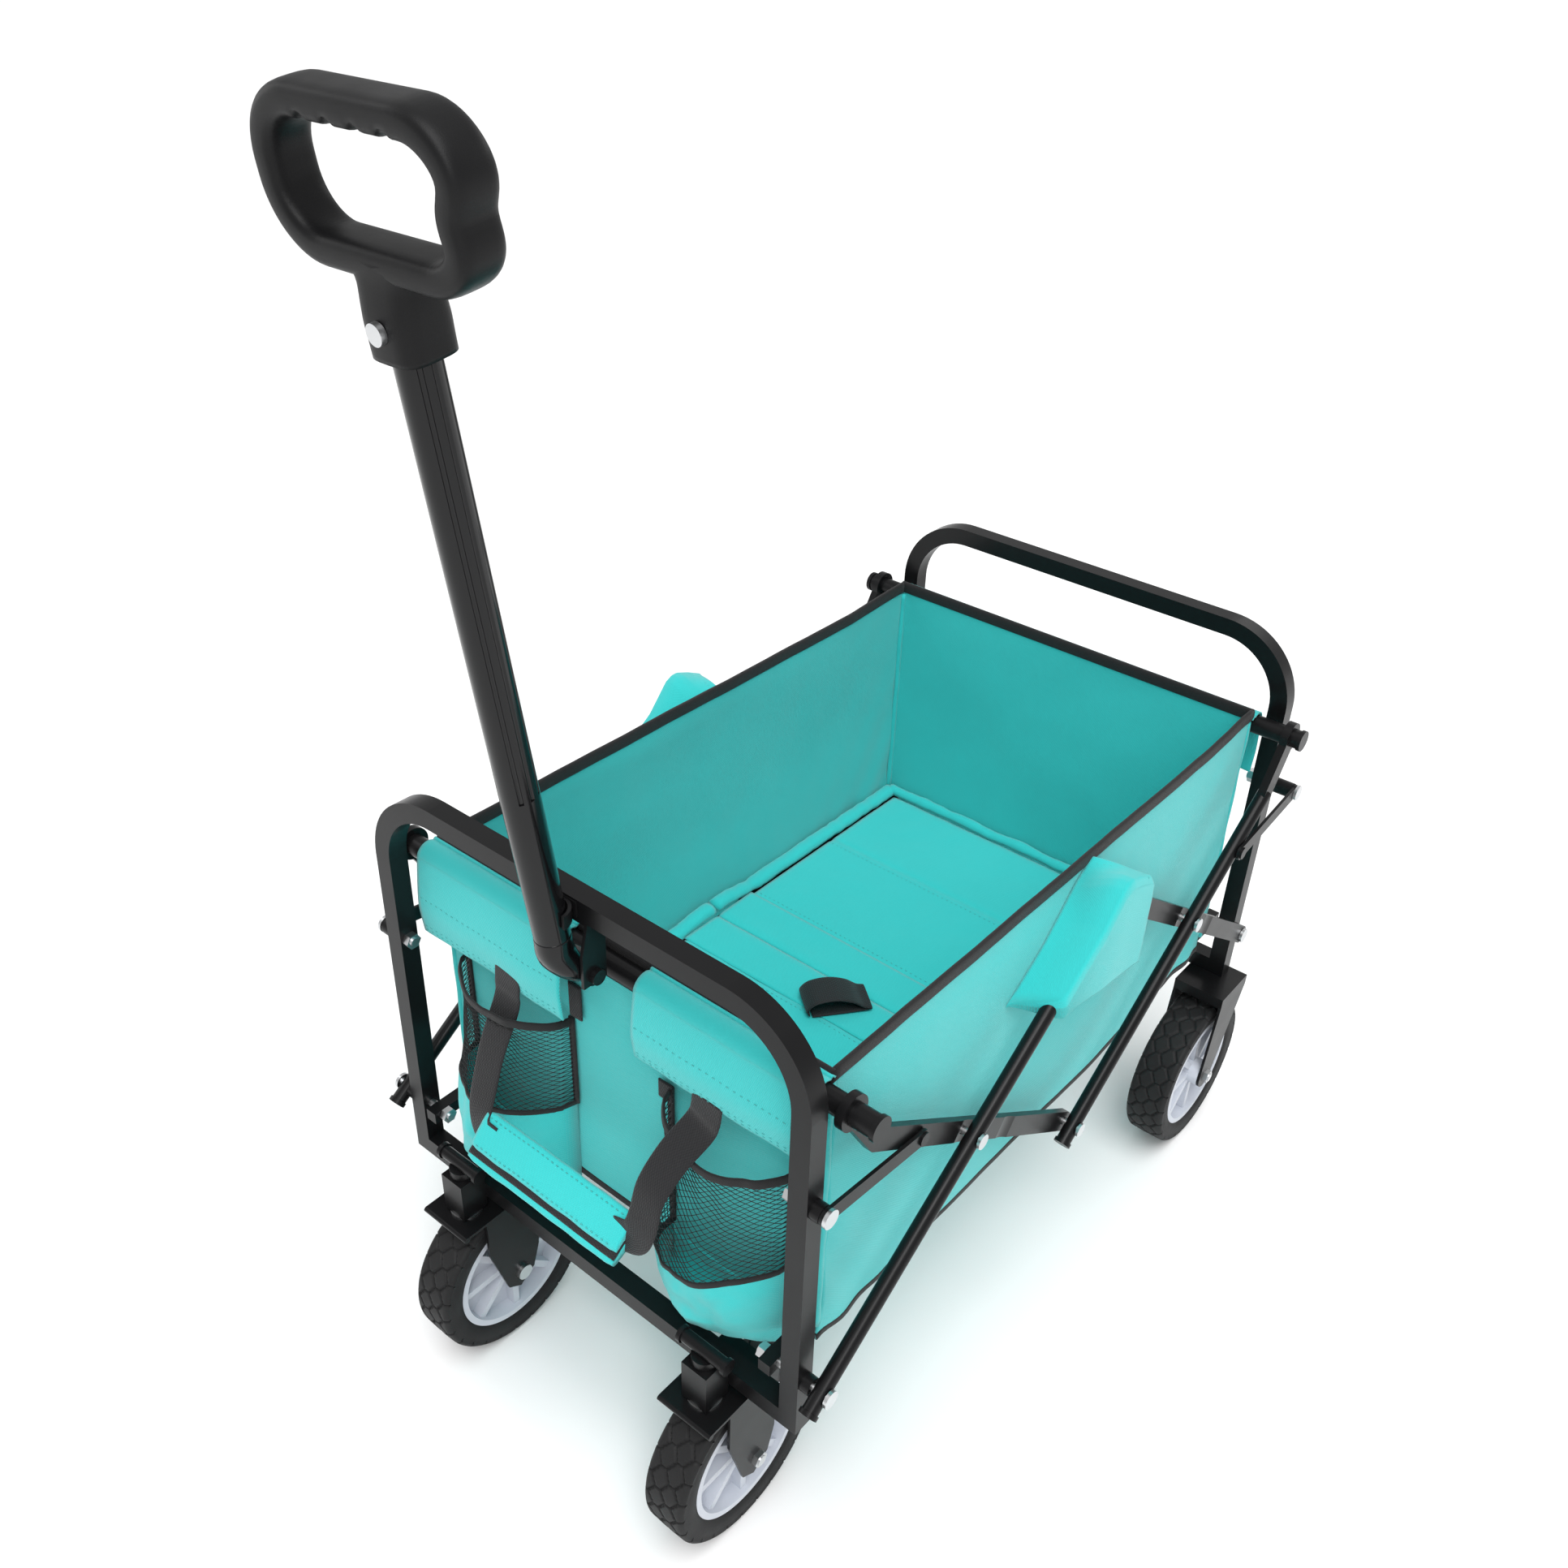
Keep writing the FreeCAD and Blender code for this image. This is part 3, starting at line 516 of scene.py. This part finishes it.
def sleeve_point(end, x0, x1, hem_z, seed):
    """Fabric over the rail: from the rim, round the rail and down outside to the hem."""
    r = RAIL_R + 2.6
    profile = [(PANEL_Y - 0.5, 541.0), (PANEL_Y + 3.0, 544.2)]
    for k in range(7):
        a = math.radians(60 + 20 * k)
        profile.append((RAIL_Y - math.cos(a) * r, RAIL_Z + math.sin(a) * r))
    drop = profile[-1][1] - hem_z
    profile += [(RAIL_Y + r + 2.5, hem_z + drop * 0.72), (RAIL_Y + r + 4.2, hem_z + drop * 0.4),
                (RAIL_Y + r + 2.4, hem_z + drop * 0.14), (RAIL_Y + r + 1.0, hem_z)]
    path = curve_points([(0, a, b) for a, b in profile], SLEEVE_STEPS)

    def point(s, t):
        p = on_path(path, t)
        x = mix(x0, x1, s)
        low = smooth((t - 0.35) / 0.65)
        puff = 1.7 * waves(x * 0.014, p.z * 0.012, seed) * low
        edge = 1.6 * waves(x * 0.03, 1.0, seed + 3) * low
        return (x, end * (p.y + puff), p.z + edge)
    return point


for name, end, x0, x1, hem_z, seed in SLEEVES:
    word = "front" if end < 0 else "rear"
    body = word + "_rail"
    surface = sleeve_point(end, x0, x1, hem_z, seed)
    edge = sampled(lambda t: surface(0, t), SLEEVE_STEPS)
    length = sum((b - a).length for a, b in zip(edge, edge[1:]))
    sleeve = cloth(name, surface, max(30, int((x1 - x0) / 4)), SLEEVE_STEPS, (x1 - x0, length), teal,
                   body)
    rows = [stitch_row(lambda s: surface(mix(0.02, 0.98, s), t), 50, (0, end * 0.9, 0), (0, end, 0))
            for t in SLEEVE_ROWS]
    stitches(name + "_stitches", rows, body)


# ---------------------------------------------------------------- corner seams inside the basket
def corner_seam(side, end):
    def point(f):
        z = mix(268, 538, f)
        return (side * (211.6 - 1.0 * waves(z * 0.03, side, 5.0)),
                end * (332.6 - 1.0 * waves(z * 0.02, end, 7.0)), z)
    return sampled(point, 40)


for side_word, side in SIDES:
    for end_word, end in ENDS:
        sweep(f"corner_seam_{side_word}_{end_word}", corner_seam(side, end), oval(8.0, 6.5, 2.2, 12),
              Vector((1, 0.3, 0)), teal, end_word + "_rail")


# ---------------------------------------------------------------- floor
PAD_CORE_Z = 271.4        # middle of the pad's thickness
PAD_THICK = 10.6
PAD_EDGE_THICK = 3.5
PAD_EDGE = 9.0            # width of the rounding at the pad's edge
PAD_CREASE_Y = 197
PAD_ROWS = (188, 60)      # distances from the middle of the cart with a row of stitches


def pad_thick(s, t):
    edge = min(min(s, 1 - s) * 2 * PAD_X, min(t, 1 - t) * PAD_LENGTH)
    return mix(PAD_EDGE_THICK, PAD_THICK, min(1.0, math.sqrt(max(0.0, edge) / PAD_EDGE)))


def pad_point(end):
    def point(s, t):
        x = mix(-PAD_X, PAD_X, s)
        y = end * mix(PAD_Y0, PAD_Y1, t)
        crease = 1.3 * math.exp(-((abs(y) - PAD_CREASE_Y) / 3.0) ** 2)
        lift = 0.8 * waves(x * 0.012, y * 0.012, 50 + end) + 0.4 * waves(x * 0.04, y * 0.03, 55 + end)
        return (x, y, PAD_CORE_Z + lift - crease)
    return point


def side_roll_path(side, end):
    """Cloth gathered along a pad's long edge, from the middle of the cart to the end panel."""
    def point(u):
        return (side * (203.2 + 0.8 * waves(u * 7, side, 3.0)), end * mix(3.0, PAD_Y1 + 4, u),
                277.8 + 1.8 * waves(u * 6, end, side) + 4.0 * math.exp(-(u * 9) ** 2))
    return sampled(point, 70)


def side_roll_section(side, end):
    def section(u):
        k = 1 + 0.22 * waves(u * 9, side * 3.0, end * 2.0) + 0.12 * waves(u * 31, side, end)
        tall = 1 + 0.2 * waves(u * 14, 1.0, side)
        return [(a * k, b * k * tall) for a, b in oval(17.6, 12.5, 2.2, 16)]
    return section


def end_roll_path(end):
    """Cloth gathered where the floor meets an end panel."""
    count = 80
    return [Vector((mix(-203, 203, k / count), end * (325.5 + 0.8 * waves(k * 0.1, 0, end)),
                    279.5 + 1.8 * waves(k * 0.12, end, 2.0))) for k in range(count + 1)]


def end_roll_section(end):
    def section(u):
        k = 1 + 0.2 * waves(u * 12, end * 3.0, 8.0) + 0.1 * waves(u * 35, end, 2.0)
        return [(a * k, b * k) for a, b in oval(12.5, 12.0, 2.0, 14)]
    return section


for word, end in ENDS:
    body = "floor_" + word
    surface = pad_point(end)
    pad = cloth("floor_board_" + word, surface, 90, 70, (2 * PAD_X, PAD_LENGTH), teal,
                body, ["floor_pad_" + word], thick=pad_thick)
    rows = []
    for y in PAD_ROWS:
        share = (y - PAD_Y0) / PAD_LENGTH
        rows.append(stitch_row(lambda s: (mix(-186, 186, s), end * y, surface(s, share)[2] + 5.4), 60,
                               (0, 0, 0), (0, 0, 1)))
    stitches("floor_stitches_" + word, rows, body)
    for side_word, side in SIDES:
        roll = sweep(f"floor_roll_{word}_{side_word}", side_roll_path(side, end),
                     side_roll_section(side, end), Vector((0, 0, 1)), teal, "front_rail")
        along_y(roll)
    roll = sweep("end_roll_" + word, end_roll_path(end), end_roll_section(end), Vector((0, 0, 1)), teal,
                 word + "_rail")
    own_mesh(roll)

GUSSET_LENGTH = PAD_Y0 + 5


def gusset_point(end):
    """Half of the soft strip between the two pads, creased along the middle of the cart."""
    def point(s, t):
        x = mix(-PAD_X, PAD_X, s)
        y = end * mix(0.0, GUSSET_LENGTH, t)
        crease = 2.2 * math.exp(-(y / 4.0) ** 2)
        return (x, y, FLOOR_Z - 0.6 - crease + 0.7 * waves(x * 0.02, y * 0.03, 70.0))
    return point


for word, end in ENDS:
    gusset = cloth("gusset_" + word, gusset_point(end), 80, 14, (2 * PAD_X, GUSSET_LENGTH), teal,
                   "floor_" + word, ["floor_gusset"] if end > 0 else ())
    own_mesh(gusset)


# ---------------------------------------------------------------- pull loop on the floor
LOOP_AT = (-8, -26)       # x and y of the loop's middle
LOOP_TURN = math.radians(52)
LOOP_UP = Vector((-0.35 * math.cos(LOOP_TURN), -0.35 * math.sin(LOOP_TURN), 1.0))
# Distance along the loop's own line, and height over the floor.
LOOP_SIDE = ((-34, 3.0), (-36, 9.0), (-27, 17.0), (-8, 19.0), (10, 14.0), (22, 6.0), (30, 3.4), (10, 2.2),
             (-14, 1.6), (-31, 1.6))
loop_corners = [(LOOP_AT[0] + math.cos(LOOP_TURN) * a, LOOP_AT[1] + math.sin(LOOP_TURN) * a, FLOOR_Z + b)
                for a, b in LOOP_SIDE]
strap = sweep("pull_loop", curve_points(loop_corners, 60), oval(38.0, 2.2, 4.0), LOOP_UP, webbing,
              "floor_rear", ["floor_strap"])
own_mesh(strap)


# ---------------------------------------------------------------- hoods over the top pivots
HOOD_Y0 = -104.0          # front tip
HOOD_Y1 = 47.0            # free rear edge
HOOD_SEWN_Y1 = 22.0       # rear end of the line sewn to the wall
HOOD_Z0 = 457.0           # height of the front tip
HOOD_SEWN_Z1 = 541.0      # height of the sewn line's rear end
HOOD_X = 263.6            # outer face, past the bars
HOOD_ROOF = 0.4           # share of the cloth that is the roof; the rest hangs down
HOOD_EDGE = ((HOOD_Y0, HOOD_Z0), (-60, 457), (-20, 449), (20, 441), (HOOD_Y1, 437))
HOOD_RIDGE = ((HOOD_Y0, 463.5), (-30, 516), (-6, 543), (2, 546.5), (9, 546.5), (26, 540), (HOOD_Y1, 530))


def along(table, y):
    """Value read off a table of (y, value)."""
    for (ya, a), (yb, b) in zip(table, table[1:]):
        if y <= yb:
            return mix(a, b, (y - ya) / (yb - ya))
    return table[-1][1]


def hood_point(side):
    """Wing of cloth sewn to the wall along a slanting edge and draped over the bars' top joint."""
    wall = wall_point(side)

    def point(s, t):
        grow = smooth(s / 0.14)
        sewn_y, sewn_z = mix(HOOD_Y0, HOOD_SEWN_Y1, s), mix(HOOD_Z0, HOOD_SEWN_Z1, s)
        roof = min(t / HOOD_ROOF, 1.0)
        y = mix(sewn_y, mix(HOOD_Y0, HOOD_Y1, s), roof)
        ridge_z = mix(sewn_z, along(HOOD_RIDGE, y), grow)
        z = mix(sewn_z, ridge_z, math.sin(min(roof * 1.5, 1.0) * math.pi / 2))
        z -= 8.0 * smooth((roof - 0.82) / 0.18) * grow
        if t > HOOD_ROOF:
            q = (t - HOOD_ROOF) / (1 - HOOD_ROOF)
            z = mix(z, along(HOOD_EDGE, y), q)
            y += 2.0 * waves(q * 2.4, s, 61 + side) * s
        wall_x = wall((y + WALL_Y) / (2 * WALL_Y), (z - WALL_Z0) / (CLOTH_TOP - WALL_Z0))[0]
        x = mix(abs(wall_x) + 1.4, HOOD_X, grow * (1 - (1 - roof) ** 1.6))
        x += 1.8 * waves(y * 0.02, t * 3, 90 + side) * grow * t
        return (side * x, y, z)
    return point


for word, side in SIDES:
    surface = hood_point(side)
    hood = cloth("pivot_hood_" + word, surface, 84, 60, (155, 150), teal,
                 "front_rail", ["side_flaps"] if side == 1 else ())
    along_y(hood)
    rows = [stitch_row(lambda s: surface(mix(0.12, 0.97, s), 0.95), 60, (side * 0.9, 0, 0), (side, 0, 0)),
            stitch_row(lambda t: surface(0.95, mix(0.03, 0.97, t)), 60, (side * 0.6, 0, 0.7),
                       (side * 0.7, 0, 0.7))]
    for t in (0.03, 0.06):
        rows.append(stitch_row(lambda s: surface(mix(0.16, 0.97, s), t), 60, (side * 0.4, 0, 0.9),
                               (side * 0.4, 0, 0.9)))
    along_y(stitches("hood_stitches_" + word, rows, "front_rail"))


# ---------------------------------------------------------------- front pockets
POCKET_IN, POCKET_OUT = 57.0, 189.0
POCKET_Z = 262.0          # where the pocket's bottom turns up into its front
NET_ACROSS, NET_UP = 34, 20
NET_WIRE = 0.85
# Depth from the panel and height, under the pocket's bottom.
POCKET_UNDER = curve_points([(0.5, 262, 0), (1.5, 247, 0), (12, 237, 0), (30, 235, 0), (47, 245, 0),
                             (56, POCKET_Z, 0)], 24)
POCKET_LIP = oval(8.0, 3.0, 3.0)
POCKET_SEAM = oval(5.5, 2.4, 3.0)
POCKET_EDGE = oval(7.0, 2.6, 3.0)


def pocket_depth(z):
    return mix(57.0, 37.0, smooth((z - 300) / 115)) + 2.5 * math.sin((z - POCKET_Z) / 38.0 * math.pi / 2)


def pocket_surface(side, s, depth, z):
    """Place on the pocket: s from its inner to its outer edge, depth out from the panel."""
    seed = 12.0 * side
    x = side * mix(POCKET_IN, POCKET_OUT, s)
    across = math.sin(math.pi * min(max(s, 0.0), 1.0)) ** 0.5
    crumple = 1 + 0.10 * waves(s * 4, z * 0.025, seed) + 0.04 * waves(s * 11, z * 0.06, seed)
    lift = 3.0 * waves(s * 3, 2.0, seed) * smooth((270 - z) / 30)
    return (x, -PANEL_Y - 2.0 - depth * across * crumple, z + lift)


def pocket_front(side, s, z):
    return pocket_surface(side, s, pocket_depth(z), z)


def mouth_z(s, side):
    return (424.0 if side > 0 else 434.0) - 9.0 * math.sin(math.pi * s) + 3.0 * math.sin(s * 7 + side)


def seam_z(s, side):
    rise = mix(276.0, 325.0, s ** 0.6) if side > 0 else mix(338.0, 326.0, s)
    return rise + 2.5 * math.sin(s * 9)


def pocket_base_point(side):
    """Turquoise part: under the pocket, then up its front to the seam with the net."""
    def point(s, t):
        if t < 0.5:
            p = on_path(POCKET_UNDER, t * 2)
            return pocket_surface(side, s, p.x, p.y)
        return pocket_front(side, s, mix(POCKET_Z, seam_z(s, side), (t - 0.5) * 2))
    return point


def net_mesh(name, side):
    """Diamond cells from the seam to the pocket's mouth."""
    bm = bmesh.new()
    grid = {}
    for i in range(NET_ACROSS + 1):
        for j in range(NET_UP * 2 + 1):
            if (i + j) % 2 == 0:
                s = i / NET_ACROSS
                z = mix(seam_z(s, side), mouth_z(s, side), j / (NET_UP * 2))
                grid[i, j] = bm.verts.new(at(*pocket_front(side, s, z)))
    for i, j in grid:
        ring = [(i, j), (i + 1, j + 1), (i, j + 2), (i - 1, j + 1)]
        if all(c in grid for c in ring):
            bm.faces.new([grid[c] for c in ring])
    mesh = bpy.data.meshes.new(name)
    bm.to_mesh(mesh)
    bm.free()
    return mesh


for word, side in SIDES:
    cloth("pocket_base_" + word, pocket_base_point(side), 48, 48, (190, 130), teal,
          "front_rail", ["pocket_" + word])
    name = "pocket_net_" + word
    netting = finished(name, net_mesh(name, side), net, "front_rail")
    wires = netting.modifiers.new("wires", "WIREFRAME")
    wires.thickness = NET_WIRE * MM
    wires.use_even_offset = False
    bindings = [("pocket_elastic_" + word, POCKET_LIP,
                 sampled(lambda s: pocket_front(side, s, mouth_z(s, side)), 40)),
                ("pocket_seam_" + word, POCKET_SEAM,
                 sampled(lambda s: pocket_front(side, s, seam_z(s, side)), 40))]
    for edge, s in (("in", 0.0), ("out", 1.0)):
        z0, z1 = seam_z(s, side), mouth_z(s, side) + 4
        bindings.append((f"pocket_edge_{edge}_{word}", POCKET_EDGE,
                         sampled(lambda f: pocket_front(side, s, mix(z0, z1, f)), 14)))
    for name, section, path in bindings:
        sweep(name, path, section, Vector((0, -1, 0)), tape, "front_rail")


# ---------------------------------------------------------------- carry handle and tabs
WRAP_X0, WRAP_X1 = -93.0, 80.0
WRAP_Y, WRAP_Z = -412.0, 335.0
WRAP_STEPS = 60
WRAP_FACE = Vector((0, -0.72, 0.69))     # the way the upper layer faces
WRAP_ACROSS = Vector((0, 0.69, 0.72))
STRAPS = (("left", [(-106, -359.5, 474), (-107, -360.5, 455), (-108, -362.0, 438), (-110, -379.0, 400),
                    (-108, -393.0, 368), (-103, -404.0, 347), (-92, -411.0, 337), (-76, WRAP_Y, WRAP_Z)]),
          ("right", [(118, -359.5, 474), (116, -360.0, 456), (111, -361.5, 441), (100, -380.0, 415),
                     (94, -398.0, 388), (94, -408.0, 362), (88, -412.0, 344), (70, WRAP_Y, WRAP_Z)]))
for word, route in STRAPS:
    sweep("carry_strap_" + word, curve_points(route, 60), oval(31.0, 2.0, 4.0), Vector((0.0, -1, 0.15)),
          webbing, "front_rail", ["carry_straps"] if word == "left" else ())


def wrap_section(u):
    end = min(u, 1 - u) * (WRAP_X1 - WRAP_X0)
    k = mix(0.92, 1.0, smooth(end / 8.0)) * (1 + 0.03 * waves(u * 8, 0, 4.0))
    return [(a * k, b * k) for a, b in oval(34.0, 9.0, 3.6, 28)]


def wrap_path(drop, out):
    return [Vector((mix(WRAP_X0, WRAP_X1, k / WRAP_STEPS), WRAP_Y - out,
                    WRAP_Z - drop + 1.0 * waves(k * 0.07, 1, drop))) for k in range(WRAP_STEPS + 1)]


upper = wrap_path(-5.0, 0.0)
wrap = sweep("carry_wrap_pad", upper, wrap_section, WRAP_FACE, teal, "front_rail",
             ["carry_wrap"])
under = sweep("carry_wrap_under", wrap_path(8.5, 3.0), wrap_section, Vector((0, -0.5, 0.86)), teal,
              "front_rail")
sweep("carry_wrap_closure", wrap_path(2.0, 4.0), oval(30.0, 3.0, 4.0), Vector((0, -0.6, 0.78)), webbing,
      "front_rail")
rows = []
for across in (-13.0, 13.0):
    offset = WRAP_ACROSS * across + WRAP_FACE * 4.6
    rows.append(([p + offset for p in upper[2:-2]], WRAP_FACE))
stitches("carry_wrap_stitches", rows, "front_rail")

# Name, middle x and z, width and height.
TABS = (("tab_left", -49.0, 459.0, 15.0, 36.0), ("tab_right", 53.0, 424.0, 16.0, 18.0))
for name, x, z, width, height in TABS:
    path = sampled(lambda f: (x, -337.6, mix(z - height / 2, z + height / 2, f)), 12)
    sweep(name, path, oval(width, 2.2, 4.0), Vector((0, -1, 0)), webbing, "front_rail")


# ---------------------------------------------------------------- handle grip, socket and foot
LEAN = math.radians(8.5)
GRIP_UP = Vector((0, -math.sin(LEAN), math.cos(LEAN)))
GRIP_OUT = Vector((0, math.cos(LEAN), math.sin(LEAN)))
GRIP_AT = Vector((0, -396.5, 578.0)) + GRIP_UP * 549.0    # middle of the loop, up the tube from its foot
GRIP_HALF_W, GRIP_HALF_H, GRIP_CORNER = 76.5, 38.0, 34.0
GRIP_STEPS = 260
SCALLOP = 3.4             # depth of the finger grooves
SCALLOP_PITCH = 22.0


def grip_outline(count):
    """Middle line of the loop: a rounded box about the grip's centre, from the top bar's right end."""
    straight_x = GRIP_HALF_W - GRIP_CORNER
    straight_z = GRIP_HALF_H - GRIP_CORNER
    out = []
    for cx, cz, start in ((1, 1, 90), (1, -1, 0), (-1, -1, -90), (-1, 1, -180)):
        for k in range(13):
            a = math.radians(start - k * 7.5)
            out.append((cx * straight_x + math.cos(a) * GRIP_CORNER,
                        cz * straight_z + math.sin(a) * GRIP_CORNER))
    out.append(out[0])
    lengths = [math.hypot(b[0] - a[0], b[1] - a[1]) for a, b in zip(out, out[1:])]
    total = sum(lengths)
    points = []
    for k in range(count):
        d = total * k / count
        for a, b, length in zip(out, out[1:], lengths):
            if d <= length:
                t = d / max(length, 1e-6)
                points.append((mix(a[0], b[0], t), mix(a[1], b[1], t)))
                break
            d -= length
    return points


grip_line = grip_outline(GRIP_STEPS)
dented = [(x - 8.0 * math.exp(-((z + 5) / 15.0) ** 2) * smooth((x - 40) / 30), z) for x, z in grip_line]
grip_path = [GRIP_AT + Vector((x, 0, 0)) + GRIP_UP * z for x, z in dented]


def grip_section(u):
    x, z = grip_line[int(round(u * (GRIP_STEPS - 1)))]
    scallop = 0.0
    if z > 30:
        wave = math.cos(x / SCALLOP_PITCH * 2 * math.pi + math.pi)
        scallop = SCALLOP * max(0.0, wave) ** 0.8 * smooth((46 - abs(x)) / 5)
    return [(a + scallop * smooth(-a / 9.0), b) for a, b in oval(19.0, 31.0, 3.6, 32)]


def socket_section(u):
    wide = mix(41.0, 47.0, smooth(u)) + 12.0 * smooth((u - 0.72) / 0.28)
    return oval(wide, mix(39.0, 31.0, smooth((u - 0.3) / 0.6)), 3.6, 40)


def foot_section(u):
    return oval(mix(28.4, 36.5, smooth((u - 0.2) / 0.4)), mix(28.4, 21.0, smooth((u - 0.2) / 0.6)),
                mix(2.0, 3.2, u), 32)


socket_path = [GRIP_AT + GRIP_UP * mix(-89.0, -36.0, k / 20) for k in range(21)]
foot_path = curve_points([(0, -398.5, 592), (0, -396.5, 576), (0, -391, 563), (0, -381, 553),
                          (0, -371, 549)], 40)
sweep("grip_loop", grip_path, grip_section, GRIP_OUT, plastic, "handle", ["handle_grip"],
      closed=True)
sweep("grip_socket", socket_path, socket_section, GRIP_OUT, plastic, "handle")
sweep("handle_foot", foot_path, foot_section, Vector((0, -1, 0.4)), gloss_black, "handle")


# ---------------------------------------------------------------- tyres
TYRE_R, TYRE_W = 89.0, 44.0
BORE_R = 66.2
GROOVE = 2.6              # depth of the tread
LUGS = 26                 # lugs round the tyre in each row
LUG_ROWS = (-1.5, -0.5, 0.5, 1.5)
LUG_ROW_PITCH = 13.0
# Radius and half width, from under the tread down to the bore.
SIDEWALL = ((84.0, 21.9), (80.5, 21.2), (78.5, 21.6), (74.0, 20.9), (70.5, 20.4), (69.0, 19.4),
            (BORE_R, 18.8))


def groove_at(turn, across):
    """Depth share of the tread groove for a place on the tyre: staggered hexagon lugs in rows."""
    pitch = 2 * math.pi * TYRE_R / LUGS
    x = turn / (2 * math.pi) * LUGS * pitch
    distances = []
    for row in LUG_ROWS:
        offset = (row + 1.5) % 2 * 0.5
        nearest = round(x / pitch - offset)
        for n in (nearest - 1, nearest, nearest + 1):
            distances.append(math.hypot(x - (n + offset) * pitch, (across - row * LUG_ROW_PITCH) * 1.15))
    first, second = sorted(distances)[:2]
    return 1 - smooth((second - first - 0.7) / 1.6)


def tyre_profile(across):
    """Section's outline as (x, radius, in the tread): across the tread, then back through the bore."""
    profile = []
    for k in range(across + 1):
        u = mix(-1, 1, k / across)
        shoulder = max(0.0, (abs(u) - 0.80) / 0.20)
        profile.append((u * TYRE_W / 2, TYRE_R - 0.6 * u * u - 3.2 * shoulder ** 2, True))
    profile += [(x, r, False) for r, x in SIDEWALL]
    profile += [(x, BORE_R, False) for x in (12.0, 0.0, -12.0)]
    profile += [(-x, r, False) for r, x in reversed(SIDEWALL)]
    return profile


def tyre_mesh(name, around=416, across=34):
    profile = tyre_profile(across)
    verts, faces = [], []
    m = len(profile)
    for i in range(around):
        a = 2 * math.pi * i / around
        for x, r, tread in profile:
            depth = GROOVE * groove_at(a, x) if tread else 0.0
            verts.append((x * MM, (r - depth) * math.cos(a) * MM, (r - depth) * math.sin(a) * MM))
    for i in range(around):
        j = (i + 1) % around
        for k in range(m):
            n = (k + 1) % m
            faces.append((i * m + k, i * m + n, j * m + n, j * m + k))
    mesh = bpy.data.meshes.new(name)
    mesh.from_pydata(verts, [], faces)
    face_outwards(mesh)
    return mesh


tread_mesh = tyre_mesh("tread")
for end_word, _ in ENDS:
    for side_word, _ in SIDES:
        word = f"{end_word}_{side_word}"
        low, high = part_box("tyre_" + word)
        mesh = tread_mesh.copy()
        mesh.transform(Matrix.Translation((low + high) / 2))
        finished("tread_" + word, mesh, rubber, f"{end_word}_wheel_{side_word}",
                 ["tyre_" + word])


# ---------------------------------------------------------------- floor and light
bpy.ops.mesh.primitive_plane_add(size=60, location=(0, 0, -0.0005))
ground = bpy.context.object
ground.name = "studio_floor"
pale, _, shader = new_material("studio_floor")
shader.inputs["Base Color"].default_value = (0.92, 0.92, 0.92, 1)
shader.inputs["Roughness"].default_value = 0.9
ground.data.materials.append(pale)

scene = bpy.context.scene
scene.world = bpy.data.worlds.new("studio")
scene.world.use_nodes = True
background = scene.world.node_tree.nodes["Background"]
background.inputs["Color"].default_value = (1.0, 1.0, 1.0, 1)
background.inputs["Strength"].default_value = 0.6
scene.view_settings.view_transform = "Standard"


def area_light(name, place, target, size, power):
    data = bpy.data.lights.new(name, "AREA")
    data.shape = "RECTANGLE"
    data.size, data.size_y = size
    data.energy = power
    obj = bpy.data.objects.new(name, data)
    obj.location = place
    obj.rotation_euler = (Vector(target) - Vector(place)).to_track_quat("-Z", "Y").to_euler()
    scene.collection.objects.link(obj)


sun = bpy.data.lights.new("sky", "SUN")
sun.energy = 1.95
sun.angle = math.radians(40)
sky = bpy.data.objects.new("sky", sun)
sky.rotation_euler = Vector((0.42, -0.40, 1.5)).to_track_quat("Z", "Y").to_euler()
scene.collection.objects.link(sky)
area_light("key", (1.6, -1.8, 2.4), (0, 0, 0.4), (0.9, 1.8), 22)
area_light("fill", (-2.4, -1.0, 1.8), (0, 0, 0.4), (0.9, 2.2), 10)
area_light("back", (0.6, 2.6, 2.4), (0, 0, 0.5), (2.4, 0.8), 12)


# ---------------------------------------------------------------- camera
AZIMUTH, ELEVATION, ROLL = (math.radians(a) for a in (38.93, 33.0, 1.93))
CAMERA_AT = at(666.8, -960.5, 1285.1)
LENS, SENSOR = 34.448, 36
back = Vector((math.sin(AZIMUTH) * math.cos(ELEVATION), -math.cos(AZIMUTH) * math.cos(ELEVATION),
               math.sin(ELEVATION)))
right = Vector((math.cos(AZIMUTH), math.sin(AZIMUTH), 0))
up = back.cross(right)
cam_right = right * math.cos(ROLL) + up * math.sin(ROLL)
cam_up = up * math.cos(ROLL) - right * math.sin(ROLL)
lens = bpy.data.cameras.new("camera")
lens.lens = LENS
lens.sensor_width = SENSOR
camera = bpy.data.objects.new("camera", lens)
camera.matrix_world = Matrix.Translation(CAMERA_AT) @ Matrix((cam_right, cam_up, back)).transposed().to_4x4()
scene.collection.objects.link(camera)
scene.camera = camera
